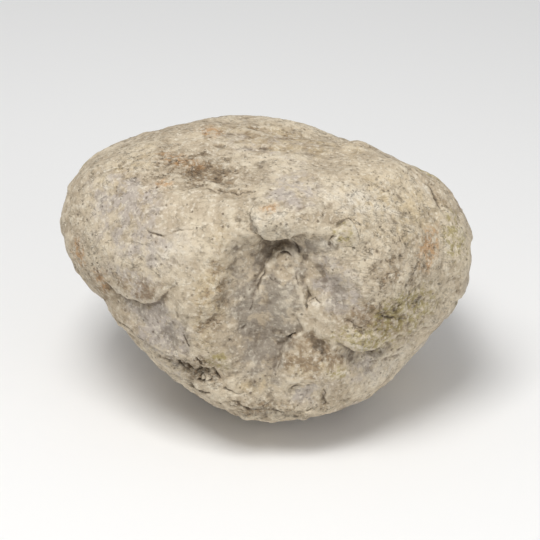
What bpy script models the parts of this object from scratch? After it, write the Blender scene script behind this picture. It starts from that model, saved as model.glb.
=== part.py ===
"""A worn river stone for a planted aquarium, 200 mm wide, resting on a small flat spot.

The stone is one solid. Its body is a set of worn flats that run into each other round one
heart point. Swells, hollows, ledges, creases and rough patches are then laid on it, each
placed as it is seen from one side of the stone. A fine ball of faces takes that shape, a
Decimate modifier keeps the faces where the form turns most, and a level cut at the floor
leaves the resting spot.

Lengths are in millimetres until the mesh is scaled to metres. +Z is up, the front of the
stone faces -Y, and the origin lies on the resting spot, under the heart.
"""

import math
from collections import namedtuple

import bmesh
import bpy
import numpy as np
from mathutils import Vector, noise

MM = 0.001

# Driving sizes
STONE_WIDTH = 200.0
HEART_HEIGHT = 66.0
ROUND_SIZE = (118.0, 94.0, 92.0)
EDGE_HARDNESS = 15.0

BALL_SUBDIVISIONS = 7
KEPT_TRIANGLES = 9400
STONE_COLOUR = (0.491, 0.407, 0.296, 1.0)
STONE_ROUGHNESS = 0.78

# The sides that forms are laid out from: the way one looks at the stone, in degrees.
# Azimuth 0 looks along +Y and 90 looks along -X; elevation is above the horizontal.
FRONT = (0.0, 30.0)
LOW_FRONT = (0.0, -15.0)
CREST = (50.0, 45.0)
RIGHT = (90.0, 5.0)
LEFT = (-90.0, 10.0)
BACK = (180.0, 20.0)
CROWN = (180.0, 70.0)

# A worn flat, as seen from the front: the way it faces, counted round the outline from the
# right, how far it leans towards the eye, both in degrees, and its reach from the heart.
Flat = namedtuple("Flat", "angle lean reach")

OUTLINE_FLATS = [
    Flat(5, 0, 105),
    Flat(24, 0, 99.5),
    Flat(48, 0, 76.5),
    Flat(72, 0, 70),
    Flat(102, 0, 69),
    Flat(136, 0, 99),
    Flat(158, 0, 110),
    Flat(177, 0, 100.5),
    Flat(196, 0, 106),
    Flat(226, 0, 69),
    Flat(248, 0, 74),
    Flat(272, 0, 73.5),
    Flat(300, 0, 82),
    Flat(317, 0, 79),
    Flat(345, 0, 92.5),
]
FRONT_FLATS = [
    Flat(150, 60, 80),
    Flat(20, 60, 80),
    Flat(92, 30, 63),
    Flat(270, 62, 68),
    Flat(217, 45, 76),
    Flat(322, 45, 77.5),
]
BACK_FLATS = [
    Flat(270, -14, 74),
    Flat(226, -14, 72),
    Flat(312, -14, 80),
    Flat(90, -35, 78.5),
    Flat(95, -68, 83),
    Flat(165, -45, 94),
    Flat(18, -48, 92),
    Flat(205, -40, 86),
    Flat(330, -42, 90),
    Flat(262, -50, 74),
    Flat(270, -30, 69),
]
FLATS = OUTLINE_FLATS + FRONT_FLATS + BACK_FLATS

# A rounded swell, or a hollow where its height is negative: its middle, its half-length
# and half-breadth, and the angle of its length from level, as seen from its side.
Swell = namedtuple("Swell", "side across up length breadth turn height")

SWELLS = [
    # The main hollow, and the valley that runs down from it.
    Swell(FRONT, 6, 4, 23, 17, -5, -10.0),
    Swell(FRONT, -2, -22, 32, 18, 97, -7.5),
    # The smooth left lobe, and the coarse right lobe with the dip and the knob before it.
    Swell(FRONT, -56, 20, 34, 26, -10, 4.0),
    Swell(FRONT, 58, 4, 30, 24, -50, 4.5),
    Swell(FRONT, 30, -8, 16, 10, -62, -4.0),
    Swell(FRONT, 38, 18, 7, 5.5, 70, 2.6),
    # The brow over the hollow, the rib under it, and the pitted trough to their left.
    Swell(FRONT, 9, 24, 22, 9, -4, 2.2),
    Swell(FRONT, 6, -9, 17, 7, 84, 3.4),
    Swell(FRONT, -34, 48, 22, 7, -6, -3.4),
    # The bulge at the foot, the pit over it, and the hollows under the right shelf.
    Swell(FRONT, 19, -47, 18, 12, 0, 2.2),
    Swell(FRONT, 23, -37, 7, 4, -35, -3.6),
    Swell(FRONT, 56, -46, 22, 8, 24, -3.0),
    Swell(FRONT, 43, -43, 14, 5, 4, -3.0),
    Swell(LOW_FRONT, 18, -9, 9, 7, 0, -2.6),
    Swell(LOW_FRONT, -34, 4, 13, 6, -5, -2.2),
    # The lobe behind the right crest.
    Swell(CREST, 52, -16, 20, 11, 106, 4.6),
    # Broad swells and hollows of the sides that the front doesn't show.
    Swell(BACK, -38, 14, 34, 22, 24, -6.0),
    Swell(BACK, 42, -6, 28, 22, -30, 4.0),
    Swell(BACK, 10, 44, 28, 16, 10, 2.0),
    Swell(BACK, 8, -26, 40, 14, 4, -3.0),
    Swell(LEFT, 18, -4, 26, 16, -24, -4.0),
    Swell(RIGHT, 22, 4, 26, 20, 40, -4.0),
    Swell(CROWN, -30, 6, 34, 18, 15, -3.5),
    Swell(CROWN, 46, -10, 24, 18, 0, 3.0),
]

# A ledge along a route: the surface on the left of the route, as one walks it, stands
# proud by rise, the other side lies lower by drop, and both fade out over their width.
# The step between them turns over edge to either side of the route.
Ledge = namedtuple("Ledge", "side rise drop fade edge route")

LIP = [
    (-9, 31.5), (-8.5, 25.5), (-5.5, 21), (-3.5, 17.3), (2, 15.5), (8, 14.5), (13, 16),
    (20, 17.2), (28, 18.4),
]
DEEP_LIP = [(-14, 25.5), (-7, 19.5), (-3.4, 16.5), (2, 15.1), (8, 14), (15, 12.5)]
CREST_EDGE = [(86, 24), (83.5, 28.5), (81, 33), (78, 38), (75, 42), (70, 46.8), (65, 51), (60, 54.5), (50, 60)]
VALLEY_WALL = [(-33, -30), (-26, -14), (-22, 0), (-21, 14), (-19, 26), (-12, 36)]
LOBE_FOOT = [(-84, -1), (-77, -8), (-71, -11.5), (-66, -14.6), (-57, -16), (-50, -10), (-46, -3)]
FACET_EDGE = [(-48, -8), (-43, -18), (-42, -28), (-40, -36), (-35, -43)]
SHELF = [(31, -32), (37, -36), (44, -38), (51, -37.5), (58, -33.5), (66, -32), (74, -30), (83, -26)]
ARCH = [(16.5, 4), (14, 8), (8, 10.4), (4, 9.4), (1.6, 5.4), (-1.4, 0.5), (-4, -4), (-6.3, -10.5), (-9.6, -20)]
ARCH_RIGHT = [(19, -24), (17.5, -14), (14.5, -6), (15, 4)]
TROUGH_RIM = [(-52, 44), (-43, 43), (-34, 42.5), (-26, 40.2), (-18, 38.8), (-9, 39), (-3, 41)]
BULGE_EDGE = [(18, -30), (10.5, -33), (6, -39), (5, -45), (0, -54)]
SLAB_FOOT = [(-82, 11), (-74, 8), (-62, 8.5), (-53, 8.2), (-45, 7.4), (-38, 6), (-27, 3)]
CHIP_EDGE = [(7, -10), (9, -4), (14, -1), (20.5, 0), (27, -2)]

LEDGES = [
    Ledge(FRONT, 1.1, 3.6, 11, 1.1, LIP),
    Ledge(FRONT, 0.0, 3.6, 7, 1.1, DEEP_LIP),
    Ledge(FRONT, 1.8, 2.4, 16, 3.6, VALLEY_WALL),
    Ledge(FRONT, 0.9, 1.8, 11, 1.1, LOBE_FOOT),
    Ledge(FRONT, 0.8, 1.2, 9, 2.2, FACET_EDGE),
    Ledge(FRONT, 2.0, 4.0, 9, 1.2, SHELF),
    Ledge(FRONT, 0.9, 2.6, 8, 1.3, CREST_EDGE),
    Ledge(FRONT, 1.0, 1.7, 7, 1.1, ARCH),
    Ledge(FRONT, 0.8, 1.2, 7, 1.8, ARCH_RIGHT),
    Ledge(FRONT, 0.9, 2.0, 7, 1.1, TROUGH_RIM),
    Ledge(FRONT, 1.1, 0.8, 7, 1.1, BULGE_EDGE),
    Ledge(LOW_FRONT, 1.3, 2.0, 9, 1.3, SLAB_FOOT),
    Ledge(LOW_FRONT, 1.2, 1.6, 6, 1.2, CHIP_EDGE),
    # Ledges of the sides that the front doesn't show.
    Ledge(BACK, 1.6, 1.8, 16, 1.6, [(-66, 22), (-48, 9), (-28, 4), (-8, 9), (12, 4)]),
    Ledge(BACK, 1.2, 1.4, 13, 1.4, [(66, -16), (48, -29), (28, -34), (8, -29)]),
    Ledge(LEFT, 1.2, 1.4, 14, 1.6, [(-34, 26), (-14, 15), (8, 12), (26, 1), (40, -16)]),
    Ledge(RIGHT, 1.2, 1.4, 14, 1.6, [(-30, -20), (-8, -27), (14, -20), (38, -6)]),
    Ledge(CROWN, 1.0, 1.4, 14, 1.4, [(-58, 24), (-34, 12), (-8, 16), (18, 6)]),
]

# A crease: a narrow valley of this depth and half-width along its route.
Crease = namedtuple("Crease", "side depth width route")

CREASES = [
    # Cracks of the front: in the valley, over the shelf, in the broken patch of the lower
    # left, and beside the chip.
    Crease(FRONT, 1.6, 1.6, [(15, -3), (18, -11), (19, -24)]),
    Crease(FRONT, 1.6, 1.6, [(33, -23), (40, -26), (46, -29), (53, -29)]),
    Crease(FRONT, 1.4, 1.6, [(50, -21), (58, -23.5), (66, -22), (69, -12), (70, -3)]),
    Crease(FRONT, 3.0, 2.0, [(-51, -44), (-45, -46), (-41.5, -48.5), (-37, -50.5), (-32, -49), (-22, -56)]),
    Crease(LOW_FRONT, 2.4, 1.6, [(27.3, -1), (27.3, -10), (27.4, -20)]),
    Crease(BACK, 1.8, 2.4, [(-44, -26), (-20, -20), (6, -24), (24, -12)]),
    Crease(RIGHT, 1.6, 2.2, [(-24, 18), (-4, 12), (18, 18), (34, 12)]),
]

# A patch where the skin is broken into small lumps, standing up to height either way.
Rough = namedtuple("Rough", "side across up length breadth turn height")

ROUGHS = [
    Rough(LOW_FRONT, -4, -20, 44, 9, -4, 1.8),
    Rough(LOW_FRONT, -34, 4, 15, 8, -10, 2.2),
    Rough(FRONT, -34, 48, 20, 8, -4, 1.4),
    Rough(FRONT, 62, -22, 22, 12, 30, 1.6),
    Rough(FRONT, 52, 20, 34, 26, -20, 1.2),
    Rough(FRONT, 6, 22, 18, 8, -6, 1.8),
    Rough(BACK, 0, -30, 50, 16, 5, 1.6),
    Rough(BACK, -50, 30, 26, 18, 5, 1.2),
    Rough(RIGHT, 10, 10, 30, 24, 0, 1.2),
    Rough(LEFT, -10, -20, 30, 18, 0, 1.4),
]

# A field of random values: the size over which they change, and a seed of its own.
Grain = namedtuple("Grain", "size seed")

# Lumps of the whole skin, and how far each kind stands out.
LUMPS = [(Grain(46.0, 11.0), 2.6), (Grain(21.0, 37.0), 1.1), (Grain(9.0, 59.0), 0.4)]
ROUGH_GRAIN = Grain(7.0, 5.0)

# The layers of the rock: the way they face, their spacing, and how far the upper one of
# two stands out over the lower. They bend, and they break the skin in patches, least of
# all on the front. LAYER_BREAK is the share of a layer over which its edge turns.
LAYERS_FACE = (0.12, 0.42, 0.90)
LAYER_SPACING = 27.0
LAYER_STEP = 3.0
LAYER_BREAK = 0.10
LAYER_BEND = 16.0
BEND_GRAIN = Grain(60.0, 71.0)
BREAK_GRAIN = Grain(34.0, 97.0)
BREAK_FROM, BREAK_FULLY = -0.05, 0.35
FRONT_FROM, FRONT_FULLY = 0.1, 0.5
LAYERS_ON_FRONT = 0.15

# Forms are laid out as the eye sees them from a metre off: what is nearer looks larger. The
# picture's scale makes the whole stone as large as it is in the photograph, and the heart
# lies this far above the spot that the eye aims at.
EYE_DISTANCE = 1000.0
PICTURE_SCALE = 0.983
HEART_OVER_AIM = 3.8
# About how much larger the body gets when the stone is fitted to its width.
FITTED = 1.058
# How squarely a side must face the eye for a form to show there, from not at all to fully.
FACES_AWAY, FACES_FULLY = 0.10, 0.45
# Routes taper off at both ends, wander off their corners and are worn away in places.
ROUTE_TAPER = 12.0
ROUTE_STEPS = 6
WANDER_SIZE = 14.0
WANDER_REACH = 1.8
WEAR_GRAIN = Grain(14.0, 83.0)
WORN_AWAY, WORN_NOWHERE = -0.9, 0.1


def view_axes(side):
    """The unit vectors to the right, up and towards the eye of one who looks at this side."""
    azimuth, elevation = (math.radians(angle) for angle in side)
    right = np.array([math.cos(azimuth), math.sin(azimuth), 0.0])
    towards = np.array([
        math.sin(azimuth) * math.cos(elevation),
        -math.cos(azimuth) * math.cos(elevation),
        math.sin(elevation),
    ])
    return right, np.cross(towards, right), towards


def smooth_step(low, high, values):
    """0 below low, 1 above high, and a smooth rise between them."""
    share = np.clip((values - low) / (high - low), 0.0, 1.0)
    return share * share * (3.0 - 2.0 * share)


def scattered(grain, points):
    """Smooth random values from -1 to 1 at the points."""
    shift = Vector((grain.seed, 2.0 * grain.seed, 3.0 * grain.seed))
    return np.array([noise.noise(Vector(point) / grain.size + shift) for point in points])


def wandering(points):
    """Small random moves of the points, so that what is laid out on them isn't drawn straight."""
    moves = [noise.noise_vector(Vector(point) / WANDER_SIZE) for point in points]
    return np.array(moves) * WANDER_REACH


def flat_normal(flat):
    """The way a worn flat faces, in the stone's frame."""
    right, up, towards = view_axes(FRONT)
    angle, lean = math.radians(flat.angle), math.radians(flat.lean)
    in_outline = right * math.cos(angle) + up * math.sin(angle)
    return in_outline * math.cos(lean) + towards * math.sin(lean)


def worn_body(rays):
    """The body's surface point and outward normal along each unit ray from the heart."""
    normals = np.array([flat_normal(flat) for flat in FLATS])
    reaches = np.array([flat.reach for flat in FLATS])
    facing = np.maximum(rays @ normals.T, 0.0) / reaches
    round_part = np.linalg.norm(rays / ROUND_SIZE, axis=1)
    total = (facing**EDGE_HARDNESS).sum(axis=1) + round_part**EDGE_HARDNESS
    points = rays * (total ** (-1.0 / EDGE_HARDNESS))[:, None]
    pull = (facing ** (EDGE_HARDNESS - 1.0) / reaches) @ normals
    pull += (rays / np.square(ROUND_SIZE)) * (round_part ** (EDGE_HARDNESS - 2.0))[:, None]
    return points, pull / np.linalg.norm(pull, axis=1)[:, None]


def smooth_route(corners):
    """Points along a smooth curve through the corners."""
    corners = np.array(corners, float)
    ends = np.vstack([2 * corners[0] - corners[1], corners, 2 * corners[-1] - corners[-2]])
    route = []
    for before, start, end, after in zip(ends, ends[1:], ends[2:], ends[3:]):
        for share in np.arange(ROUTE_STEPS) / ROUTE_STEPS:
            bend = 2 * before - 5 * start + 4 * end - after
            twist = 3 * start - before - 3 * end + after
            turn = (end - before) * share + bend * share**2 + twist * share**3
            route.append(start + 0.5 * turn)
    route.append(corners[-1])
    return np.array(route)


class SideView:
    """The stone's surface as one sees it from a side."""

    def __init__(self, side, points, normals):
        right, up, towards = view_axes(side)
        from_aim = points + (0.0, 0.0, HEART_OVER_AIM)
        nearness = PICTURE_SCALE / (1.0 - (from_aim @ towards) / EYE_DISTANCE)
        self.places = np.stack([from_aim @ right, from_aim @ up], axis=1) * nearness[:, None]
        self.seen = smooth_step(FACES_AWAY, FACES_FULLY, normals @ towards)

    def oval(self, form):
        """A smooth cover of the form's oval: 1 at its middle, fading out past its edge."""
        turn = math.radians(form.turn)
        offset = self.places - (form.across, form.up)
        along = (offset @ (math.cos(turn), math.sin(turn))) / form.length
        over = (offset @ (-math.sin(turn), math.cos(turn))) / form.breadth
        return np.exp(-(along**2 + over**2)) * self.seen

    def route(self, corners):
        """Each point's distance from a smooth route, positive on its left, and the route's
        strength there, which tapers off at both ends."""
        route = smooth_route(corners)
        nearest = np.full(len(self.places), np.inf)
        signed = np.zeros(len(self.places))
        walked_to = np.zeros(len(self.places))
        walked = 0.0
        for start, end in zip(route[:-1], route[1:]):
            length = np.linalg.norm(end - start)
            ahead = (end - start) / length
            offset = self.places - start
            along = np.clip(offset @ ahead, 0.0, length)
            gap = np.linalg.norm(offset - along[:, None] * ahead, axis=1)
            closer = gap < nearest
            nearest = np.where(closer, gap, nearest)
            signed = np.where(closer, gap * np.sign(offset @ (-ahead[1], ahead[0])), signed)
            walked_to = np.where(closer, walked + along, walked_to)
            walked += length
        strength = smooth_step(0.0, ROUTE_TAPER, walked_to)
        strength *= smooth_step(0.0, ROUTE_TAPER, walked - walked_to)
        return signed, strength * self.seen


def ledge_height(ledge, view):
    """How far a ledge moves the surface out or in."""
    signed, strength = view.route(ledge.route)
    spread = np.exp(-((signed / ledge.fade) ** 2))
    proud = smooth_step(-ledge.edge, ledge.edge, signed)
    return (ledge.rise * proud - ledge.drop * (1.0 - proud)) * spread * strength


def crease_height(crease, view):
    """How far a crease sinks the surface, as a height below zero."""
    signed, strength = view.route(crease.route)
    return -crease.depth * np.exp(-((signed / crease.width) ** 2)) * strength


def layer_height(points, normals):
    """How far the layers of the rock move the surface, where they break the skin."""
    face = np.array(LAYERS_FACE) / np.linalg.norm(LAYERS_FACE)
    layers = (points @ face + LAYER_BEND * scattered(BEND_GRAIN, points)) / LAYER_SPACING
    share = layers - np.floor(layers)
    step = smooth_step(0.0, LAYER_BREAK, share) * (1.0 - share) - 0.5
    broken = smooth_step(BREAK_FROM, BREAK_FULLY, scattered(BREAK_GRAIN, points))
    broken *= 1.0 - (normals @ face) ** 2
    on_front = smooth_step(FRONT_FROM, FRONT_FULLY, normals @ view_axes(FRONT)[2])
    return LAYER_STEP * step * broken * (1.0 - (1.0 - LAYERS_ON_FRONT) * on_front)


def relief(points, normals):
    """How far each point of the body is moved out along its normal by all the forms.

    Swells are laid on the body, and the other forms on the body with its swells.
    """
    moves = wandering(points)
    sides = {form.side for form in SWELLS + LEDGES + CREASES + ROUGHS}
    views = {side: SideView(side, points * FITTED + moves, normals) for side in sides}
    swells = sum(swell.height * views[swell.side].oval(swell) for swell in SWELLS)
    swollen = (points + normals * swells[:, None]) * FITTED + moves
    views = {side: SideView(side, swollen, normals) for side in sides}
    routes = sum(ledge_height(ledge, views[ledge.side]) for ledge in LEDGES)
    routes += sum(crease_height(crease, views[crease.side]) for crease in CREASES)
    routes *= smooth_step(WORN_AWAY, WORN_NOWHERE, scattered(WEAR_GRAIN, points))
    lumps = sum(reach * scattered(grain, points) for grain, reach in LUMPS)
    roughs = sum(rough.height * views[rough.side].oval(rough) for rough in ROUGHS)
    roughs *= scattered(ROUGH_GRAIN, points)
    return routes + swells + lumps + roughs + layer_height(points, normals)


def stone_points(rays):
    """The stone's surface along each unit ray from the heart, in metres."""
    points, normals = worn_body(rays)
    points += normals * relief(points, normals)[:, None]
    points[:, 2] += HEART_HEIGHT
    width = points[:, 0].max() - points[:, 0].min()
    return points * (STONE_WIDTH / width * MM)


def ball_mesh():
    """A ball of nearly equal triangles, with a radius of one."""
    mesh = bpy.data.meshes.new("rock")
    ball = bmesh.new()
    bmesh.ops.create_icosphere(ball, subdivisions=BALL_SUBDIVISIONS, radius=1.0)
    ball.to_mesh(mesh)
    ball.free()
    return mesh


def shape_ball(mesh):
    """Moves the ball's points out to the stone's surface."""
    rays = np.empty(len(mesh.vertices) * 3, np.float32)
    mesh.vertices.foreach_get("co", rays)
    rays = rays.reshape(-1, 3).astype(float)
    rays /= np.linalg.norm(rays, axis=1)[:, None]
    mesh.vertices.foreach_set("co", stone_points(rays).astype(np.float32).ravel())
    mesh.update()


def thin_out(stone):
    """Keeps the triangles where the form turns most."""
    decimate = stone.modifiers.new("keep where it turns", "DECIMATE")
    decimate.ratio = KEPT_TRIANGLES / len(stone.data.polygons)
    graph = bpy.context.evaluated_depsgraph_get()
    thinned = bpy.data.meshes.new_from_object(stone.evaluated_get(graph))
    stone.modifiers.remove(decimate)
    stone.data = thinned


def cut_level_at_floor(mesh):
    """Cuts the stone off at the floor and closes the cut, which is the resting spot."""
    stone = bmesh.new()
    stone.from_mesh(mesh)
    everything = stone.verts[:] + stone.edges[:] + stone.faces[:]
    cut = bmesh.ops.bisect_plane(
        stone, geom=everything, plane_co=(0, 0, 0), plane_no=(0, 0, -1), clear_outer=True
    )
    rim = [part for part in cut["geom_cut"] if isinstance(part, bmesh.types.BMEdge)]
    bmesh.ops.contextual_create(stone, geom=rim)
    bmesh.ops.recalc_face_normals(stone, faces=stone.faces[:])
    stone.to_mesh(mesh)
    stone.free()


def stone_material():
    """Weathered quartzite: a dull warm grey."""
    material = bpy.data.materials.new("weathered_quartzite")
    material.use_nodes = True
    shader = material.node_tree.nodes["Principled BSDF"]
    shader.inputs["Base Color"].default_value = STONE_COLOUR
    shader.inputs["Roughness"].default_value = STONE_ROUGHNESS
    shader.inputs["Metallic"].default_value = 0.0
    material.diffuse_color = STONE_COLOUR
    return material


def build_stone():
    """The stone, as one object in a collection of its own."""
    collection = bpy.data.collections.new("aquascaping_rock")
    bpy.context.scene.collection.children.link(collection)
    mesh = ball_mesh()
    shape_ball(mesh)
    stone = bpy.data.objects.new("rock", mesh)
    collection.objects.link(stone)
    bpy.context.view_layer.update()
    thin_out(stone)
    cut_level_at_floor(stone.data)
    stone.data.materials.clear()
    stone.data.materials.append(stone_material())
    stone.data.shade_smooth()


for leftover in list(bpy.data.objects):
    bpy.data.objects.remove(leftover, do_unlink=True)
build_stone()
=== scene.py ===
"""The looks of the aquascaping rock: a weathered river stone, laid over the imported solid.

The stone is worked out once more from the values that its solid was made from, on a finer
ball of triangles, and gets what the solid leaves out: thin cracks, small chips, an
overhanging lip, pits and grain. Points of the surface carry marks, such as where it is
pitted, polished or stained, and the one finish reads them.

Forms are laid out in millimetres, as they are seen from a side of the stone. Meshes, the
camera and the lights are in metres. +Z is up and the front of the stone faces -Y.
"""

import logging
import math
from collections.abc import Iterable
from dataclasses import dataclass, field
from enum import Enum
from typing import Any

import bmesh
import bpy
import numpy as np
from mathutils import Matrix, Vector, noise
from mathutils.bvhtree import BVHTree


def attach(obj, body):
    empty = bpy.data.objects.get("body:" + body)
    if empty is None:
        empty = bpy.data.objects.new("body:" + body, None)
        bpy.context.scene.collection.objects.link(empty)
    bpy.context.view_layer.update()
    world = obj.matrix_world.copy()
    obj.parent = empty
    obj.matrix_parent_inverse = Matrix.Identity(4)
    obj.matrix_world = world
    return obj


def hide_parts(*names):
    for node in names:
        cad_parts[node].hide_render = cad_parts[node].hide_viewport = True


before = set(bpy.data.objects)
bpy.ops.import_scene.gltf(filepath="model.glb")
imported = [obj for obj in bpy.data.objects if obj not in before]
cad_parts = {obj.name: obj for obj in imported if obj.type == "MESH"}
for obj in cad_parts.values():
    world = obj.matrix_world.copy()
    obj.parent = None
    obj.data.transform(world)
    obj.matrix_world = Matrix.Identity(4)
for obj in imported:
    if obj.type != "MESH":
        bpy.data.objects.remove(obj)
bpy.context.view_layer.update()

MM = 0.001
LOG = logging.getLogger("aquascaping_rock")

# Forms are laid out as the eye sees them from a metre off: what is nearer looks larger. The
# picture's scale makes the whole stone as large as it is in the photograph, and the heart
# lies this far above the spot that the eye aims at.
EYE_DISTANCE = 1000.0
PICTURE_SCALE = 0.983
HEART_OVER_AIM = 3.8
# How squarely a side must face the eye for a form to show there, from not at all to fully.
FACES_AWAY, FACES_FULLY = 0.10, 0.45
# Routes taper off at both ends over this length, and are drawn in this many steps a corner.
ROUTE_TAPER = 12.0
ROUTE_STEPS = 6
# Past this many widths a ledge or crease no longer moves the surface.
WIDTHS_REACHED = 3.0


def smooth_step(low: float, high: float, values: np.ndarray) -> np.ndarray:
    """Returns 0 below low, 1 above high, and a smooth rise between them."""
    share = np.clip((values - low) / (high - low), 0.0, 1.0)
    return share * share * (3.0 - 2.0 * share)


def linear_colour(hex_code: str) -> tuple[float, float, float, float]:
    """Turns an sRGB hex colour into the linear colour that a shader takes.

    Args:
        hex_code: The colour as "#RRGGBB".

    Returns:
        Red, green, blue and alpha.
    """
    parts = [int(hex_code[start:start + 2], 16) / 255.0 for start in (1, 3, 5)]
    red, green, blue = (
        part / 12.92 if part <= 0.04045 else ((part + 0.055) / 1.055) ** 2.4 for part in parts
    )
    return red, green, blue, 1.0


def add_node(tree: bpy.types.NodeTree, kind: str, inputs: dict | None = None, **settings: Any) -> bpy.types.Node:
    """Adds one node to a tree.

    Args:
        tree: The tree that gets the node.
        kind: The node's type.
        inputs: What goes into its sockets, by name or number: a node, whose first output is
            linked, an output socket, or a plain value.
        **settings: The node's own properties.

    Returns:
        The node.
    """
    node = tree.nodes.new(kind)
    for name, value in settings.items():
        setattr(node, name, value)
    for key, value in (inputs or {}).items():
        if isinstance(value, bpy.types.Node):
            tree.links.new(value.outputs[0], node.inputs[key])
        elif isinstance(value, bpy.types.NodeSocket):
            tree.links.new(value, node.inputs[key])
        else:
            node.inputs[key].default_value = value
    return node


class Side(Enum):
    """A way to look at the stone: azimuth and elevation in degrees.

    Azimuth 0 looks along +Y and 90 along -X. Elevation is above the horizontal.
    """

    FRONT = (0.0, 30.0)
    LOW_FRONT = (0.0, -15.0)
    CREST = (50.0, 45.0)
    RIGHT = (90.0, 5.0)
    LEFT = (-90.0, 10.0)
    BACK = (180.0, 20.0)
    CROWN = (180.0, 70.0)

    def axes(self) -> tuple[np.ndarray, np.ndarray, np.ndarray]:
        """Returns the unit vectors to the right, up and towards the eye."""
        azimuth, elevation = (math.radians(angle) for angle in self.value)
        right = np.array([math.cos(azimuth), math.sin(azimuth), 0.0])
        towards = np.array([
            math.sin(azimuth) * math.cos(elevation),
            -math.cos(azimuth) * math.cos(elevation),
            math.sin(elevation),
        ])
        return right, np.cross(towards, right), towards


class Mark(Enum):
    """What a point of the surface can carry. The value is the attribute's name."""

    PITTED = "pitted"
    POLISHED = "polished"
    LAVENDER = "lavender"
    # Blue-grey ground, and painted shade under the brow and the shelf.
    SLATE_AND_SHADE = "slate_and_shade"
    BEIGE = "beige"
    # Pale ground and worn rims, and painted highlight on the lips of the shelf and the lobe's foot.
    PALE_AND_HIGHLIGHT = "pale"
    # Brown stains, and partly painted shade over the top.
    BROWN = "brown"
    RUST = "rust"
    MOSS = "moss"
    # Soil in cracks and the pit, and painted shade in the hollow under the lip.
    SOIL_AND_SHADE = "soil"
    CRACK = "crack"
    PIT = "pit"
    HOLLOW = "hollow"
    # Broad nooks, darkened as painted shade.
    NOOK_SHADE = "nook_shade"
    RIDGE = "ridge"


@dataclass(frozen=True)
class Grain:
    """A field of smooth random values from -1 to 1.

    Attributes:
        size: The distance over which the values change, in millimetres.
        seed: What sets this field apart from the others.
    """

    size: float
    seed: float

    def at(self, points: np.ndarray) -> np.ndarray:
        """Returns the values at the points."""
        shift = Vector((self.seed, 2.0 * self.seed, 3.0 * self.seed))
        return np.array([noise.noise(Vector(point) / self.size + shift) for point in points])


@dataclass(frozen=True)
class Flat:
    """A worn flat of the body, as seen from the front.

    Attributes:
        angle: The way it faces, counted round the outline from the right, in degrees.
        lean: How far it leans towards the eye, in degrees.
        reach: Its distance from the heart of the stone.
    """

    angle: float
    lean: float
    reach: float

    def normal(self) -> np.ndarray:
        """Returns the way it faces, in the stone's frame."""
        right, up, towards = Side.FRONT.axes()
        angle, lean = math.radians(self.angle), math.radians(self.lean)
        in_outline = right * math.cos(angle) + up * math.sin(angle)
        return in_outline * math.cos(lean) + towards * math.sin(lean)


class SideView:
    """The stone's surface as one sees it from a side."""

    def __init__(self, side: Side, points: np.ndarray, normals: np.ndarray) -> None:
        """Lays the points out as they are seen from the side.

        Args:
            side: The way one looks.
            points: The surface's points, from the heart.
            normals: The body's outward normals there.
        """
        right, up, towards = side.axes()
        from_aim = points + (0.0, 0.0, HEART_OVER_AIM)
        nearness = PICTURE_SCALE / (1.0 - (from_aim @ towards) / EYE_DISTANCE)
        self.places = np.stack([from_aim @ right, from_aim @ up], axis=1) * nearness[:, None]
        self.seen = smooth_step(FACES_AWAY, FACES_FULLY, normals @ towards)

    def cover(self, oval: "Oval") -> np.ndarray:
        """Returns how much an oval covers each point: 1 at its middle, fading out past its edge."""
        turn = math.radians(oval.turn)
        offset = self.places - (oval.across, oval.up)
        along = (offset @ (math.cos(turn), math.sin(turn))) / oval.length
        over = (offset @ (-math.sin(turn), math.cos(turn))) / oval.breadth
        return np.exp(-(along**2 + over**2)) * self.seen

    def beside(self, route: list[tuple[float, float]], reach: float, taper: float) -> tuple[np.ndarray, np.ndarray]:
        """Finds where each point lies beside a route.

        Args:
            route: The corners of the route, which is smooth between them.
            reach: Points further than this from the route don't count.
            taper: The length over which the route fades in and out at its ends.

        Returns:
            Each point's distance from the route, positive on its left as one walks it, and
            the route's strength there.
        """
        line = smooth_route(route)
        close = np.all(self.places > line.min(axis=0) - reach, axis=1)
        close &= np.all(self.places < line.max(axis=0) + reach, axis=1)
        close &= self.seen > 0.0
        places = self.places[close]
        nearest = np.full(len(places), np.inf)
        signed = np.zeros(len(places))
        walked_to = np.zeros(len(places))
        walked = 0.0
        for start, end in zip(line[:-1], line[1:]):
            length = float(np.linalg.norm(end - start))
            ahead = (end - start) / length
            offset = places - start
            along = np.clip(offset @ ahead, 0.0, length)
            gap = np.linalg.norm(offset - along[:, None] * ahead, axis=1)
            closer = gap < nearest
            nearest = np.where(closer, gap, nearest)
            signed = np.where(closer, gap * np.sign(offset @ (-ahead[1], ahead[0])), signed)
            walked_to = np.where(closer, walked + along, walked_to)
            walked += length
        strength = smooth_step(0.0, taper, walked_to) * smooth_step(0.0, taper, walked - walked_to)
        everywhere = np.full(len(self.places), np.inf)
        everywhere[close] = signed
        strengths = np.zeros(len(self.places))
        strengths[close] = strength * self.seen[close]
        return everywhere, strengths


def smooth_route(corners: list[tuple[float, float]]) -> np.ndarray:
    """Draws a smooth curve through corners.

    Args:
        corners: The points that the curve passes through.

    Returns:
        Points along the curve.
    """
    spots = np.array(corners, float)
    ends = np.vstack([2 * spots[0] - spots[1], spots, 2 * spots[-1] - spots[-2]])
    line = []
    for before, start, end, after in zip(ends, ends[1:], ends[2:], ends[3:]):
        for share in np.arange(ROUTE_STEPS) / ROUTE_STEPS:
            bend = 2 * before - 5 * start + 4 * end - after
            twist = 3 * start - before - 3 * end + after
            turn = (end - before) * share + bend * share**2 + twist * share**3
            line.append(start + 0.5 * turn)
    line.append(spots[-1])
    return np.array(line)


@dataclass(frozen=True)
class Oval:
    """An oval of the surface, as seen from a side: its middle, its half-length and
    half-breadth, and the angle of its length from level."""

    side: Side
    across: float
    up: float
    length: float
    breadth: float
    turn: float


@dataclass(frozen=True)
class Swell(Oval):
    """A rounded swell, or a hollow where its height is negative."""

    height: float


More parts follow.
